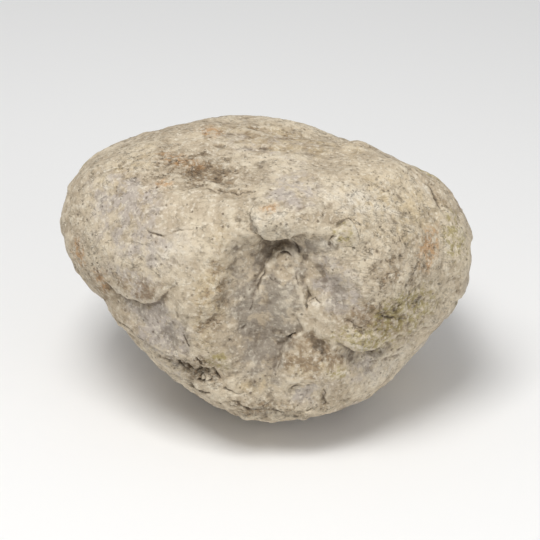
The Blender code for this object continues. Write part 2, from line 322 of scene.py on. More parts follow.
@dataclass(frozen=True)
class Rough(Oval):
    """A patch where the skin is broken into small lumps, up to this height either way."""

    height: float


@dataclass(frozen=True)
class Patch(Oval):
    """A patch of a mark, as strong as this at its middle."""

    mark: Mark
    strength: float


@dataclass(frozen=True)
class Ledge:
    """A step of the surface along a route.

    The left of the route, as one walks it, stands proud by rise and the other side lies
    lower by drop. Both fade out over their width, and the step turns over edge either way.
    """

    side: Side
    rise: float
    drop: float
    fade: float
    edge: float
    route: list[tuple[float, float]]
    taper: float = ROUTE_TAPER

    def height(self, view: SideView) -> np.ndarray:
        """Returns how far it moves the surface out or in."""
        signed, strength = view.beside(self.route, WIDTHS_REACHED * self.fade, self.taper)
        spread = np.exp(-((signed / self.fade) ** 2))
        proud = smooth_step(-self.edge, self.edge, signed)
        return (self.rise * proud - self.drop * (1.0 - proud)) * spread * strength


@dataclass(frozen=True)
class Crease:
    """A narrow valley of this depth and half-width along a route."""

    side: Side
    depth: float
    width: float
    route: list[tuple[float, float]]
    taper: float = ROUTE_TAPER

    def height(self, view: SideView) -> np.ndarray:
        """Returns how far it sinks the surface, as a height below zero."""
        return -self.depth * self.cover(view)

    def cover(self, view: SideView, widening: float = 1.0) -> np.ndarray:
        """Returns 1 in the bottom of the crease and less towards its sides."""
        width = self.width * widening
        signed, strength = view.beside(self.route, WIDTHS_REACHED * width, self.taper)
        return np.exp(-((signed / width) ** 2)) * strength


@dataclass(frozen=True)
class Overhang:
    """A lip that hangs over: the left of a route is drawn across it by reach, over a width."""

    side: Side
    reach: float
    width: float
    route: list[tuple[float, float]]

    def shift(self, view: SideView) -> np.ndarray:
        """Returns how far each point is moved, along the way down of the side's view."""
        signed, strength = view.beside(self.route, WIDTHS_REACHED * self.width, ROUTE_TAPER)
        return self.reach * smooth_step(-1.0, 1.0, signed) * np.exp(-((signed / self.width) ** 2)) * strength


FLATS = (
    # Round the outline.
    Flat(5, 0, 105), Flat(24, 0, 99.5), Flat(48, 0, 76.5), Flat(72, 0, 70), Flat(102, 0, 69),
    Flat(136, 0, 99), Flat(158, 0, 110), Flat(177, 0, 100.5), Flat(196, 0, 106), Flat(226, 0, 69),
    Flat(248, 0, 74), Flat(272, 0, 73.5), Flat(300, 0, 82), Flat(317, 0, 79), Flat(345, 0, 92.5),
    # Towards the front.
    Flat(150, 60, 80), Flat(20, 60, 80), Flat(92, 30, 63), Flat(270, 62, 68), Flat(217, 45, 76),
    Flat(322, 45, 77.5),
    # Away from the front.
    Flat(270, -14, 74), Flat(226, -14, 72), Flat(312, -14, 80), Flat(90, -35, 78.5),
    Flat(95, -68, 83), Flat(165, -45, 94), Flat(18, -48, 92), Flat(205, -40, 86),
    Flat(330, -42, 90), Flat(262, -50, 74), Flat(270, -30, 69),
)

SWELLS = (
    Swell(Side.FRONT, 6, 4, 23, 17, -5, -10.0),
    Swell(Side.FRONT, -2, -22, 32, 18, 97, -7.5),
    Swell(Side.FRONT, -56, 20, 34, 26, -10, 4.0),
    Swell(Side.FRONT, 58, 4, 30, 24, -50, 4.5),
    Swell(Side.FRONT, 30, -8, 16, 10, -62, -4.0),
    Swell(Side.FRONT, 38, 18, 7, 5.5, 70, 2.6),
    Swell(Side.FRONT, 9, 24, 22, 9, -4, 2.2),
    Swell(Side.FRONT, 6, -9, 17, 7, 84, 3.4),
    Swell(Side.FRONT, -34, 48, 22, 7, -6, -3.4),
    Swell(Side.FRONT, 19, -47, 18, 12, 0, 2.2),
    Swell(Side.FRONT, 23, -37, 7, 4, -35, -3.6),
    Swell(Side.FRONT, 56, -46, 22, 8, 24, -3.0),
    Swell(Side.FRONT, 43, -43, 14, 5, 4, -3.0),
    Swell(Side.LOW_FRONT, 18, -9, 9, 7, 0, -2.6),
    Swell(Side.LOW_FRONT, -34, 4, 13, 6, -5, -2.2),
    Swell(Side.CREST, 52, -16, 20, 11, 106, 4.6),
    Swell(Side.BACK, -38, 14, 34, 22, 24, -6.0),
    Swell(Side.BACK, 42, -6, 28, 22, -30, 4.0),
    Swell(Side.BACK, 10, 44, 28, 16, 10, 2.0),
    Swell(Side.BACK, 8, -26, 40, 14, 4, -3.0),
    Swell(Side.LEFT, 18, -4, 26, 16, -24, -4.0),
    Swell(Side.RIGHT, 22, 4, 26, 20, 40, -4.0),
    Swell(Side.CROWN, -30, 6, 34, 18, 15, -3.5),
    Swell(Side.CROWN, 46, -10, 24, 18, 0, 3.0),
)

LIP = [
    (-9, 31.5), (-8.5, 25.5), (-5.5, 21), (-3.5, 17.3), (2, 15.5), (8, 14.5), (13, 16),
    (20, 17.2), (28, 18.4),
]
DEEP_LIP = [(-14, 25.5), (-7, 19.5), (-3.4, 16.5), (2, 15.1), (8, 14), (15, 12.5)]
CREST_EDGE = [(86, 24), (83.5, 28.5), (81, 33), (78, 38), (75, 42), (70, 46.8), (65, 51), (60, 54.5), (50, 60)]
VALLEY_WALL = [(-33, -30), (-26, -14), (-22, 0), (-21, 14), (-19, 26), (-12, 36)]
LOBE_FOOT = [(-84, -1), (-77, -8), (-71, -11.5), (-66, -14.6), (-57, -16), (-50, -10), (-46, -3)]
FACET_EDGE = [(-48, -8), (-43, -18), (-42, -28), (-40, -36), (-35, -43)]
SHELF = [(31, -32), (37, -36), (44, -38), (51, -37.5), (58, -33.5), (66, -32), (74, -30), (83, -26)]
ARCH = [(16.5, 4), (14, 8), (8, 10.4), (4, 9.4), (1.6, 5.4), (-1.4, 0.5), (-4, -4), (-6.3, -10.5), (-9.6, -20)]
ARCH_RIGHT = [(19, -24), (17.5, -14), (14.5, -6), (15, 4)]
TROUGH_RIM = [(-52, 44), (-43, 43), (-34, 42.5), (-26, 40.2), (-18, 38.8), (-9, 39), (-3, 41)]
BULGE_EDGE = [(18, -30), (10.5, -33), (6, -39), (5, -45), (0, -54)]
SLAB_FOOT = [(-82, 11), (-74, 8), (-62, 8.5), (-53, 8.2), (-45, 7.4), (-38, 6), (-27, 3)]
CHIP_EDGE = [(7, -10), (9, -4), (14, -1), (20.5, 0), (27, -2)]

LEDGES = (
    Ledge(Side.FRONT, 1.1, 3.6, 11, 1.1, LIP),
    Ledge(Side.FRONT, 0.0, 3.6, 7, 1.1, DEEP_LIP),
    Ledge(Side.FRONT, 1.8, 2.4, 16, 3.6, VALLEY_WALL),
    Ledge(Side.FRONT, 0.9, 1.8, 11, 1.1, LOBE_FOOT),
    Ledge(Side.FRONT, 0.8, 1.2, 9, 2.2, FACET_EDGE),
    Ledge(Side.FRONT, 2.0, 4.0, 9, 1.2, SHELF),
    Ledge(Side.FRONT, 0.9, 2.6, 8, 1.3, CREST_EDGE),
    Ledge(Side.FRONT, 1.0, 1.7, 7, 1.1, ARCH),
    Ledge(Side.FRONT, 0.8, 1.2, 7, 1.8, ARCH_RIGHT),
    Ledge(Side.FRONT, 0.9, 2.0, 7, 1.1, TROUGH_RIM),
    Ledge(Side.FRONT, 1.1, 0.8, 7, 1.1, BULGE_EDGE),
    Ledge(Side.LOW_FRONT, 1.3, 2.0, 9, 1.3, SLAB_FOOT),
    Ledge(Side.LOW_FRONT, 1.2, 1.6, 6, 1.2, CHIP_EDGE),
    Ledge(Side.BACK, 1.6, 1.8, 16, 1.6, [(-66, 22), (-48, 9), (-28, 4), (-8, 9), (12, 4)]),
    Ledge(Side.BACK, 1.2, 1.4, 13, 1.4, [(66, -16), (48, -29), (28, -34), (8, -29)]),
    Ledge(Side.LEFT, 1.2, 1.4, 14, 1.6, [(-34, 26), (-14, 15), (8, 12), (26, 1), (40, -16)]),
    Ledge(Side.RIGHT, 1.2, 1.4, 14, 1.6, [(-30, -20), (-8, -27), (14, -20), (38, -6)]),
    Ledge(Side.CROWN, 1.0, 1.4, 14, 1.4, [(-58, 24), (-34, 12), (-8, 16), (18, 6)]),
)

CREASES = (
    Crease(Side.FRONT, 1.6, 1.6, [(15, -3), (18, -11), (19, -24)]),
    Crease(Side.FRONT, 1.6, 1.6, [(33, -23), (40, -26), (46, -29), (53, -29)]),
    Crease(Side.FRONT, 1.4, 1.6, [(50, -21), (58, -23.5), (66, -22), (69, -12), (70, -3)]),
    Crease(Side.FRONT, 3.0, 2.0, [(-51, -44), (-45, -46), (-41.5, -48.5), (-37, -50.5), (-32, -49), (-22, -56)]),
    Crease(Side.LOW_FRONT, 2.4, 1.6, [(27.3, -1), (27.3, -10), (27.4, -20)]),
    Crease(Side.BACK, 1.8, 2.4, [(-44, -26), (-20, -20), (6, -24), (24, -12)]),
    Crease(Side.RIGHT, 1.6, 2.2, [(-24, 18), (-4, 12), (18, 18), (34, 12)]),
)

ROUGHS = (
    Rough(Side.LOW_FRONT, -4, -20, 44, 9, -4, 1.8),
    Rough(Side.LOW_FRONT, -34, 4, 15, 8, -10, 2.2),
    Rough(Side.FRONT, -34, 48, 20, 8, -4, 1.4),
    Rough(Side.FRONT, 62, -22, 22, 12, 30, 1.6),
    Rough(Side.FRONT, 52, 20, 34, 26, -20, 1.2),
    Rough(Side.FRONT, 6, 22, 18, 8, -6, 1.8),
    Rough(Side.BACK, 0, -30, 50, 16, 5, 1.6),
    Rough(Side.BACK, -50, 30, 26, 18, 5, 1.2),
    Rough(Side.RIGHT, 10, 10, 30, 24, 0, 1.2),
    Rough(Side.LEFT, -10, -20, 30, 18, 0, 1.4),
)

# From here on, what the solid leaves out.
THIN_CRACKS = (
    # On the left lobe, and beside the knob.
    Crease(Side.FRONT, 1.2, 0.6, [(-61.5, 21), (-59, 18), (-56, 16.8), (-52.5, 16.7), (-49, 17.5)], 2.5),
    Crease(Side.FRONT, 0.8, 0.5, [(-51, 17), (-46.3, 18.6), (-41, 19.4), (-36, 19.1)], 3.0),
    Crease(Side.FRONT, 0.8, 0.5, [(43.6, 14), (43.2, 18), (39, 25), (36, 24)], 2.0),
    Crease(Side.FRONT, 0.4, 0.5, [(29.4, 10), (30, 14.4), (33, 19.6)], 2.0),
    # Round the arch and down the valley.
    Crease(Side.FRONT, 1.5, 0.7, [(11, 5.8), (9.4, 7.5), (7, 8.3), (4.8, 7.1), (3.0, 4.4)], 1.5),
    Crease(Side.FRONT, 1.0, 0.6, [(10, 15.5), (12, 12.6), (14.4, 9.2), (15.4, 7)], 2.0),
    Crease(Side.FRONT, 1.1, 0.55, [(-2, 0.4), (-4, -4), (-5.2, -7.5), (-6.3, -10.6)], 2.0),
    Crease(Side.FRONT, 0.6, 0.5, [(-7.6, -14), (-8.8, -17.6), (-10, -21)], 2.0),
    Crease(Side.FRONT, 0.6, 0.5, [(-1, -2.4), (0.6, -5.4), (4, -6.6), (8.6, -9.4)], 2.5),
    Crease(Side.FRONT, 0.8, 0.5, [(12.5, 0), (13, -4.6), (14.6, -9)], 2.5),
    Crease(Side.FRONT, 1.2, 0.6, [(18.2, -8.6), (19, -12), (18.4, -14), (17.6, -17), (18, -20.4)], 1.5),
    Crease(Side.FRONT, 0.9, 0.5, [(18, -17), (21, -14), (23, -15.6), (25.4, -18)], 1.5),
    Crease(Side.FRONT, 0.6, 0.5, [(-11, -27), (-13.4, -28.4), (-17, -30.4)], 2.0),
    Crease(Side.FRONT, 1.3, 0.6, [(3.0, -35.4), (6.6, -35.6), (9, -33.9), (10.6, -31.6), (14, -30.6)], 2.0),
    Crease(Side.FRONT, 0.5, 0.5, [(6.3, -38), (5.3, -42), (4.7, -46), (1.0, -53)], 4.0),
    # Under the trough's rim.
    Crease(Side.FRONT, 0.7, 0.5, [(-42, 41.8), (-36, 41.6), (-31, 40.9), (-27.5, 39.2)], 3.0),
    Crease(Side.FRONT, 0.9, 0.55, [(-27, 39.4), (-21, 38), (-16, 37.4), (-10, 37.8), (-6, 38.6)], 3.0),
    Crease(Side.FRONT, 0.6, 0.5, [(-13, 43), (-11, 40.5), (-8, 38.8)], 2.5),
    # Along the shelf.
    Crease(Side.FRONT, 0.8, 0.55, [(39, -38), (44, -39.4), (50, -39.6), (55, -37)], 3.0),
    Crease(Side.FRONT, 0.5, 0.5, [(60, -34), (67, -33), (75, -31.5), (82, -28)], 5.0),
    Crease(Side.FRONT, 1.0, 0.6, [(38, -24.6), (42, -26.6), (46, -28.6)], 2.5),
    Crease(Side.FRONT, 0.9, 0.6, [(53, -21.4), (57, -23.2), (61.5, -23.8)], 2.5),
    Crease(Side.FRONT, 0.9, 0.6, [(61, -20), (64.5, -15.5), (68, -12), (68.8, -8)], 2.5),
    # In the lower left.
    Crease(Side.FRONT, 0.9, 0.6, [(-77, -22.8), (-73, -26), (-67.5, -29.3), (-62.6, -34), (-59, -38.5)], 4.0),
    Crease(Side.FRONT, 0.7, 0.5, [(-60, -38), (-55, -42), (-50, -44.3), (-45, -46)], 4.0),
    Crease(Side.FRONT, 1.0, 0.6, [(-43, -31.5), (-41.3, -34.5), (-39.3, -39)], 2.0),
    # The cluster of black cracks.
    Crease(Side.FRONT, 2.2, 0.7, [(-46.5, -44), (-43.6, -46), (-41.4, -49), (-38.6, -51), (-36.4, -50)], 1.5),
    Crease(Side.FRONT, 2.2, 0.7, [(-36, -49.6), (-33.4, -48), (-30, -48.6), (-27, -49.6), (-24, -54.6)], 1.5),
    Crease(Side.FRONT, 1.8, 0.6, [(-35, -52.6), (-33, -51.4), (-31, -53), (-33, -54.6), (-35.4, -53.4)], 1.0),
    Crease(Side.FRONT, 1.8, 0.6, [(-30.6, -52.4), (-28.6, -51.6), (-27.4, -53.6), (-29.6, -55.2)], 1.0),
    Crease(Side.FRONT, 1.2, 0.5, [(-36.8, -41.5), (-34.8, -44.6), (-33, -47.4)], 1.5),
    Crease(Side.FRONT, 1.4, 0.6, [(-39.6, -54.4), (-38.4, -56.6), (-36.2, -58.6)], 1.5),
    Crease(Side.FRONT, 1.0, 0.5, [(-42, -55.6), (-35, -59), (-28, -61)], 2.5),
    Crease(Side.FRONT, 1.0, 0.5, [(-24, -57), (-17.6, -60), (-12, -60.6)], 2.5),
    # Round the chip at the foot.
    Crease(Side.FRONT, 0.7, 0.5, [(9.4, -61), (11.6, -57.4), (16, -56), (21, -56)], 3.0),
    Crease(Side.FRONT, 0.7, 0.6, [(24.8, -57), (27.4, -60), (26.2, -63), (27, -65), (24.8, -68)], 3.5),
    # Along the broken edge of the foot.
    Crease(Side.FRONT, 0.9, 0.55, [(-2, -68.5), (4, -70), (10, -69.4), (17, -68.6), (22, -67.5)], 3.0),
    Crease(Side.FRONT, 0.9, 0.55, [(-26, -66), (-20, -64), (-14, -66.4), (-8, -70)], 3.0),
    Crease(Side.FRONT, 0.8, 0.5, [(6, -73), (13, -73), (21, -71.4), (29, -70)], 3.0),
    # Behind the right crest.
    Crease(Side.FRONT, 0.9, 0.7, [(84.5, 29), (82, 33.6), (79, 38.4), (76, 42.4), (71, 47)], 4.0),
    # Over the back, the sides and the crown.
    Crease(Side.BACK, 0.9, 0.7, [(-60, 20), (-44, 10), (-30, 6), (-16, 8)], 8.0),
    Crease(Side.BACK, 0.8, 0.6, [(30, 22), (38, 8), (36, -6), (44, -18)], 8.0),
    Crease(Side.LEFT, 0.8, 0.6, [(-30, 24), (-16, 14), (2, 12), (16, 6)], 8.0),
    Crease(Side.RIGHT, 0.8, 0.6, [(-18, 16), (-2, 11), (14, 15), (30, 11)], 8.0),
    Crease(Side.CROWN, 0.7, 0.6, [(-50, 20), (-34, 10), (-10, 14), (6, 10)], 8.0),
)

CHIPS = (
    # The broken end of the brow, the knob's sides, and small steps of the front.
    Ledge(Side.FRONT, 0.9, 1.2, 4, 0.6, [(-9, 27), (-6.5, 23), (-5.5, 19.5), (-4, 17), (0, 15)], 2.5),
    Ledge(Side.FRONT, 1.3, 1.2, 4, 0.7, [(43.4, 11), (42.6, 17), (38.4, 24), (34, 19.5), (30.6, 14), (30, 10)], 2.0),
    Ledge(Side.FRONT, 0.6, 0.6, 4, 0.7, [(52, 32), (58, 28), (62, 22), (64, 15)], 4.0),
    Ledge(Side.FRONT, 0.5, 0.5, 4, 0.7, [(28, 33), (20, 30), (12, 27)], 4.0),
    Ledge(Side.FRONT, 0.6, 0.7, 4, 0.6, [(2.5, -33), (7, -33.4), (11, -31)], 2.0),
    Ledge(Side.FRONT, 0.6, 0.6, 4, 0.7, [(11, -20), (13.5, -25), (16, -29), (12, -32)], 3.0),
    Ledge(Side.FRONT, 0.5, 0.6, 4, 0.7, [(38, -35), (45, -36.4), (51, -36), (56, -32)], 3.0),
    Ledge(Side.FRONT, 0.5, 0.7, 4, 0.7, [(40, -43), (52, -43.5), (62, -41), (72, -36)], 5.0),
    Ledge(Side.FRONT, 0.6, 0.6, 4, 0.8, [(-30, 62), (-18, 60), (-6, 60), (6, 58)], 6.0),
)

OVERHANGS = (
    Overhang(Side.FRONT, 0.7, 6.0, LIP),
    Overhang(Side.FRONT, 1.5, 5.0, DEEP_LIP),
    Overhang(Side.FRONT, 0.9, 4.0, SHELF),
    Overhang(Side.FRONT, 0.6, 4.0, TROUGH_RIM),
    Overhang(Side.FRONT, 0.6, 4.0, LOBE_FOOT),
)

PATCHES = (
    # Smooth lavender grey.
    Patch(Side.FRONT, -71, 35, 15, 11, -10, Mark.LAVENDER, 1.0),
    Patch(Side.FRONT, -64, 14, 24, 12, -10, Mark.LAVENDER, 0.55),
    Patch(Side.FRONT, -66, -4, 14, 8, 0, Mark.LAVENDER, 0.6),
    Patch(Side.FRONT, -54, -28, 20, 10, -50, Mark.LAVENDER, 0.95),
    Patch(Side.FRONT, 32, -9, 18, 11, -60, Mark.LAVENDER, 0.85),
    Patch(Side.FRONT, 12, 38, 15, 9, 0, Mark.LAVENDER, 0.7),
    Patch(Side.FRONT, 0, 62, 32, 9, -6, Mark.LAVENDER, 0.35),
    Patch(Side.FRONT, 44, -48, 18, 8, 15, Mark.LAVENDER, 0.45),
    Patch(Side.FRONT, 18, -60.5, 9, 5, 0, Mark.LAVENDER, 1.0),
    Patch(Side.FRONT, -54, -50, 14, 6, -45, Mark.LAVENDER, 0.8),
    # Blue-grey in the valley, and grey painted shade under the brow and the shelf.
    Patch(Side.FRONT, -4, -24, 34, 16, 97, Mark.SLATE_AND_SHADE, 1.0),
    Patch(Side.FRONT, 8, -6, 16, 9, 84, Mark.SLATE_AND_SHADE, 0.6),
    Patch(Side.FRONT, -12, 8, 12, 7, 100, Mark.SLATE_AND_SHADE, 0.25),
    # Painted shade in the recess under the right of the brow, and painted shadow under the shelf's lip.
    Patch(Side.FRONT, 20, 12, 13, 4, 6, Mark.SLATE_AND_SHADE, 0.85),
    Patch(Side.FRONT, 44, -41.5, 14, 3.4, 5, Mark.SLATE_AND_SHADE, 0.75),
    Patch(Side.FRONT, -52, -27, 20, 9, -50, Mark.SLATE_AND_SHADE, 0.7),
    Patch(Side.FRONT, 32, -10, 14, 9, -60, Mark.SLATE_AND_SHADE, 0.45),
    # Pitted brown, and a brown wash over the top that is partly painted shade.
    Patch(Side.FRONT, -33, 47.5, 15, 5, -8, Mark.BROWN, 1.0),
    Patch(Side.FRONT, -38, 51, 30, 10, -6, Mark.BROWN, 0.4),
    Patch(Side.FRONT, 24, -39, 11, 5, -38, Mark.BROWN, 1.0),
    Patch(Side.FRONT, 60, -2, 20, 13, -30, Mark.BROWN, 0.4),
    Patch(Side.FRONT, -8, -68, 36, 6, 0, Mark.BROWN, 0.4),
    Patch(Side.FRONT, -34, -49, 12, 6, -25, Mark.BROWN, 0.6),
    Patch(Side.FRONT, 19, -44, 16, 10, -10, Mark.BROWN, 0.75),
    Patch(Side.FRONT, 84, 40, 15, 6, -48, Mark.BROWN, 0.75),
    Patch(Side.FRONT, 52, -26, 22, 9, -10, Mark.BROWN, 0.7),
    Patch(Side.FRONT, -28, -14, 28, 7, 78, Mark.BROWN, 0.6),
    Patch(Side.FRONT, -64, -10, 18, 8, -20, Mark.BROWN, 0.6),
    Patch(Side.FRONT, -82, -8, 9, 3.5, 115, Mark.BROWN, 0.6),
    # Brown stain over the top, made strong enough to be partly painted shade.
    Patch(Side.FRONT, 0, 65, 44, 9, -4, Mark.BROWN, 0.46),
    # Rust.
    Patch(Side.FRONT, -29, 67.5, 7, 2.8, -6, Mark.RUST, 0.65),
    Patch(Side.FRONT, 77.5, 10, 11, 5, 80, Mark.RUST, 0.75),
    Patch(Side.FRONT, -82, -5, 7, 3, 110, Mark.RUST, 0.6),
    Patch(Side.FRONT, -93, 8, 8, 3, 100, Mark.RUST, 0.6),
    Patch(Side.FRONT, -47, 54, 10, 3.5, -10, Mark.RUST, 0.5),
    Patch(Side.FRONT, -36, 50, 6, 3, 0, Mark.RUST, 0.5),
    Patch(Side.FRONT, -52, 42.5, 5, 3, 0, Mark.RUST, 0.5),
    Patch(Side.FRONT, -1, 30, 5, 2.6, 0, Mark.RUST, 0.75),
    # Olive moss stain.
    Patch(Side.FRONT, 62, -21, 12, 7, 35, Mark.MOSS, 1.0),
    Patch(Side.FRONT, 46, -34, 15, 5, -5, Mark.MOSS, 0.85),
    Patch(Side.FRONT, 90, 16, 15, 6, 100, Mark.MOSS, 0.6),
    Patch(Side.FRONT, 36, 17, 6, 5, 60, Mark.MOSS, 0.7),
    Patch(Side.FRONT, 74, -18, 14, 7, 60, Mark.MOSS, 0.45),
    Patch(Side.FRONT, -25, -44, 6, 5, 0, Mark.MOSS, 0.6),
    Patch(Side.FRONT, 33, -51, 6, 4, 0, Mark.MOSS, 0.5),
    # Warm light beige.
    Patch(Side.FRONT, -29, -12, 32, 8, 80, Mark.BEIGE, 0.7),
    Patch(Side.FRONT, -70, 50, 22, 9, 35, Mark.BEIGE, 0.5),
    Patch(Side.FRONT, 8, 64, 40, 8, -4, Mark.BEIGE, 0.7),
    Patch(Side.FRONT, 60, 30, 28, 17, -20, Mark.BEIGE, 0.6),
    Patch(Side.FRONT, 17, -47, 16, 9, 0, Mark.BEIGE, 0.5),
    Patch(Side.FRONT, -6, -56, 14, 4, 0, Mark.BEIGE, 0.7),
    # Pale.
    Patch(Side.FRONT, 66, -48, 28, 10, 45, Mark.PALE_AND_HIGHLIGHT, 0.85),
    Patch(Side.FRONT, 2, 24, 11, 7, -20, Mark.PALE_AND_HIGHLIGHT, 0.5),
    Patch(Side.FRONT, 44, 33, 22, 8, -10, Mark.PALE_AND_HIGHLIGHT, 0.6),
    Patch(Side.FRONT, -46, 10, 14, 12, 0, Mark.PALE_AND_HIGHLIGHT, 0.4),
    # Small pale knobs and worn rims; the pale lips of the shelf and the lobe's foot are partly painted highlight.
    Patch(Side.FRONT, 22.2, -17, 2.8, 1.8, -10, Mark.PALE_AND_HIGHLIGHT, 1.0),
    Patch(Side.FRONT, -1.6, 2.4, 1.6, 2.2, 0, Mark.PALE_AND_HIGHLIGHT, 1.0),
    Patch(Side.FRONT, 14, -26.4, 1.8, 1.8, 0, Mark.PALE_AND_HIGHLIGHT, 0.9),
    Patch(Side.FRONT, 5, -33, 2.8, 1.0, 0, Mark.PALE_AND_HIGHLIGHT, 1.0),
    Patch(Side.FRONT, -7, 24, 1.6, 3.2, -20, Mark.PALE_AND_HIGHLIGHT, 0.9),
    Patch(Side.FRONT, -4.3, 18, 1.3, 2.4, 0, Mark.PALE_AND_HIGHLIGHT, 0.9),
    Patch(Side.FRONT, 26, 12.6, 4.0, 1.2, 0, Mark.PALE_AND_HIGHLIGHT, 0.8),
    Patch(Side.FRONT, 32.6, 15, 1.4, 4.0, -30, Mark.PALE_AND_HIGHLIGHT, 0.9),
    Patch(Side.FRONT, 41, 19.5, 1.4, 4.0, 30, Mark.PALE_AND_HIGHLIGHT, 0.9),
    # Pale lip of the shelf: worn rim and painted highlight.
    Patch(Side.FRONT, 44, -37.2, 7.0, 1.2, -6, Mark.PALE_AND_HIGHLIGHT, 0.7),
    Patch(Side.FRONT, 73, 43.5, 11, 1.6, -52, Mark.PALE_AND_HIGHLIGHT, 0.8),
    Patch(Side.FRONT, 82, 49, 14, 1.6, -32, Mark.PALE_AND_HIGHLIGHT, 0.8),
    Patch(Side.FRONT, 96.5, 32, 10, 1.5, -62, Mark.PALE_AND_HIGHLIGHT, 0.8),
    # Pale lip of the lobe's foot: worn rim and painted highlight.
    Patch(Side.FRONT, -71, -12, 9, 1.3, -38, Mark.PALE_AND_HIGHLIGHT, 0.7),
    # Smooth ground.
    Patch(Side.FRONT, -60, 24, 34, 26, -10, Mark.POLISHED, 0.8),
    Patch(Side.FRONT, 0, 58, 50, 14, -4, Mark.POLISHED, 0.6),
    Patch(Side.FRONT, 66, -50, 30, 10, 45, Mark.POLISHED, 0.7),
    Patch(Side.FRONT, 44, 40, 24, 14, -20, Mark.POLISHED, 0.35),
    Patch(Side.FRONT, 18, -48, 14, 10, 0, Mark.POLISHED, 0.8),
    # Pitted ground.
    Patch(Side.FRONT, -36, 49, 26, 8, -6, Mark.PITTED, 1.0),
    Patch(Side.FRONT, 58, 8, 34, 26, -40, Mark.PITTED, 0.75),
    Patch(Side.FRONT, 60, -22, 18, 9, 30, Mark.PITTED, 0.9),
    Patch(Side.FRONT, 0, 22, 12, 10, -20, Mark.PITTED, 0.8),
    Patch(Side.FRONT, -34, -49, 14, 7, -25, Mark.PITTED, 1.0),
    Patch(Side.LOW_FRONT, -4, -20, 46, 10, -4, Mark.PITTED, 1.0),
    Patch(Side.FRONT, -66, 4, 16, 9, 0, Mark.PITTED, 0.5),
    Patch(Side.FRONT, -72, 52, 20, 9, 35, Mark.PITTED, 0.5),
    Patch(Side.FRONT, -30, -24, 24, 7, 75, Mark.PITTED, 0.5),
    Patch(Side.FRONT, -88, 6, 8, 20, 10, Mark.PITTED, 0.8),
    # Black soil in the deepest places; the patch under the lip is painted shade.
    Patch(Side.FRONT, -33, -49.5, 11, 4, -20, Mark.SOIL_AND_SHADE, 0.55),
    # Painted shade in the hollow under the lip's overhang.
    Patch(Side.FRONT, 3, 11.4, 9, 2.8, -12, Mark.SOIL_AND_SHADE, 0.75),
    Patch(Side.FRONT, 24, -38.5, 6, 2.4, -40, Mark.SOIL_AND_SHADE, 0.95),
    Patch(Side.FRONT, 9.4, -33.6, 2.0, 1.2, 20, Mark.SOIL_AND_SHADE, 1.0),
    Patch(Side.FRONT, 4, -71, 34, 2.4, 0, Mark.SOIL_AND_SHADE, 0.6),
)


@dataclass(frozen=True)
class Scatter:
    """A mark that lies in random patches on the sides that the front doesn't show."""

    mark: Mark
    grain: Grain
    low: float
    high: float
    strength: float


SCATTERS = (
    Scatter(Mark.LAVENDER, Grain(44.0, 131.0), 0.0, 0.35, 0.8),
    Scatter(Mark.SLATE_AND_SHADE, Grain(52.0, 149.0), 0.15, 0.5, 0.6),
    Scatter(Mark.BROWN, Grain(26.0, 163.0), 0.22, 0.5, 0.7),
    Scatter(Mark.RUST, Grain(24.0, 181.0), 0.30, 0.65, 0.5),
    Scatter(Mark.MOSS, Grain(30.0, 193.0), 0.28, 0.5, 0.6),
    Scatter(Mark.BEIGE, Grain(36.0, 211.0), 0.0, 0.35, 0.7),
    Scatter(Mark.PALE_AND_HIGHLIGHT, Grain(28.0, 227.0), 0.15, 0.45, 0.5),
    Scatter(Mark.PITTED, Grain(34.0, 241.0), -0.1, 0.35, 0.95),
)


@dataclass
class StoneSurface:
    """The stone's surface along unit rays from its heart, with the sides it is seen from."""

    points: np.ndarray
    normals: np.ndarray
    views: dict[Side, SideView]
    broken: np.ndarray


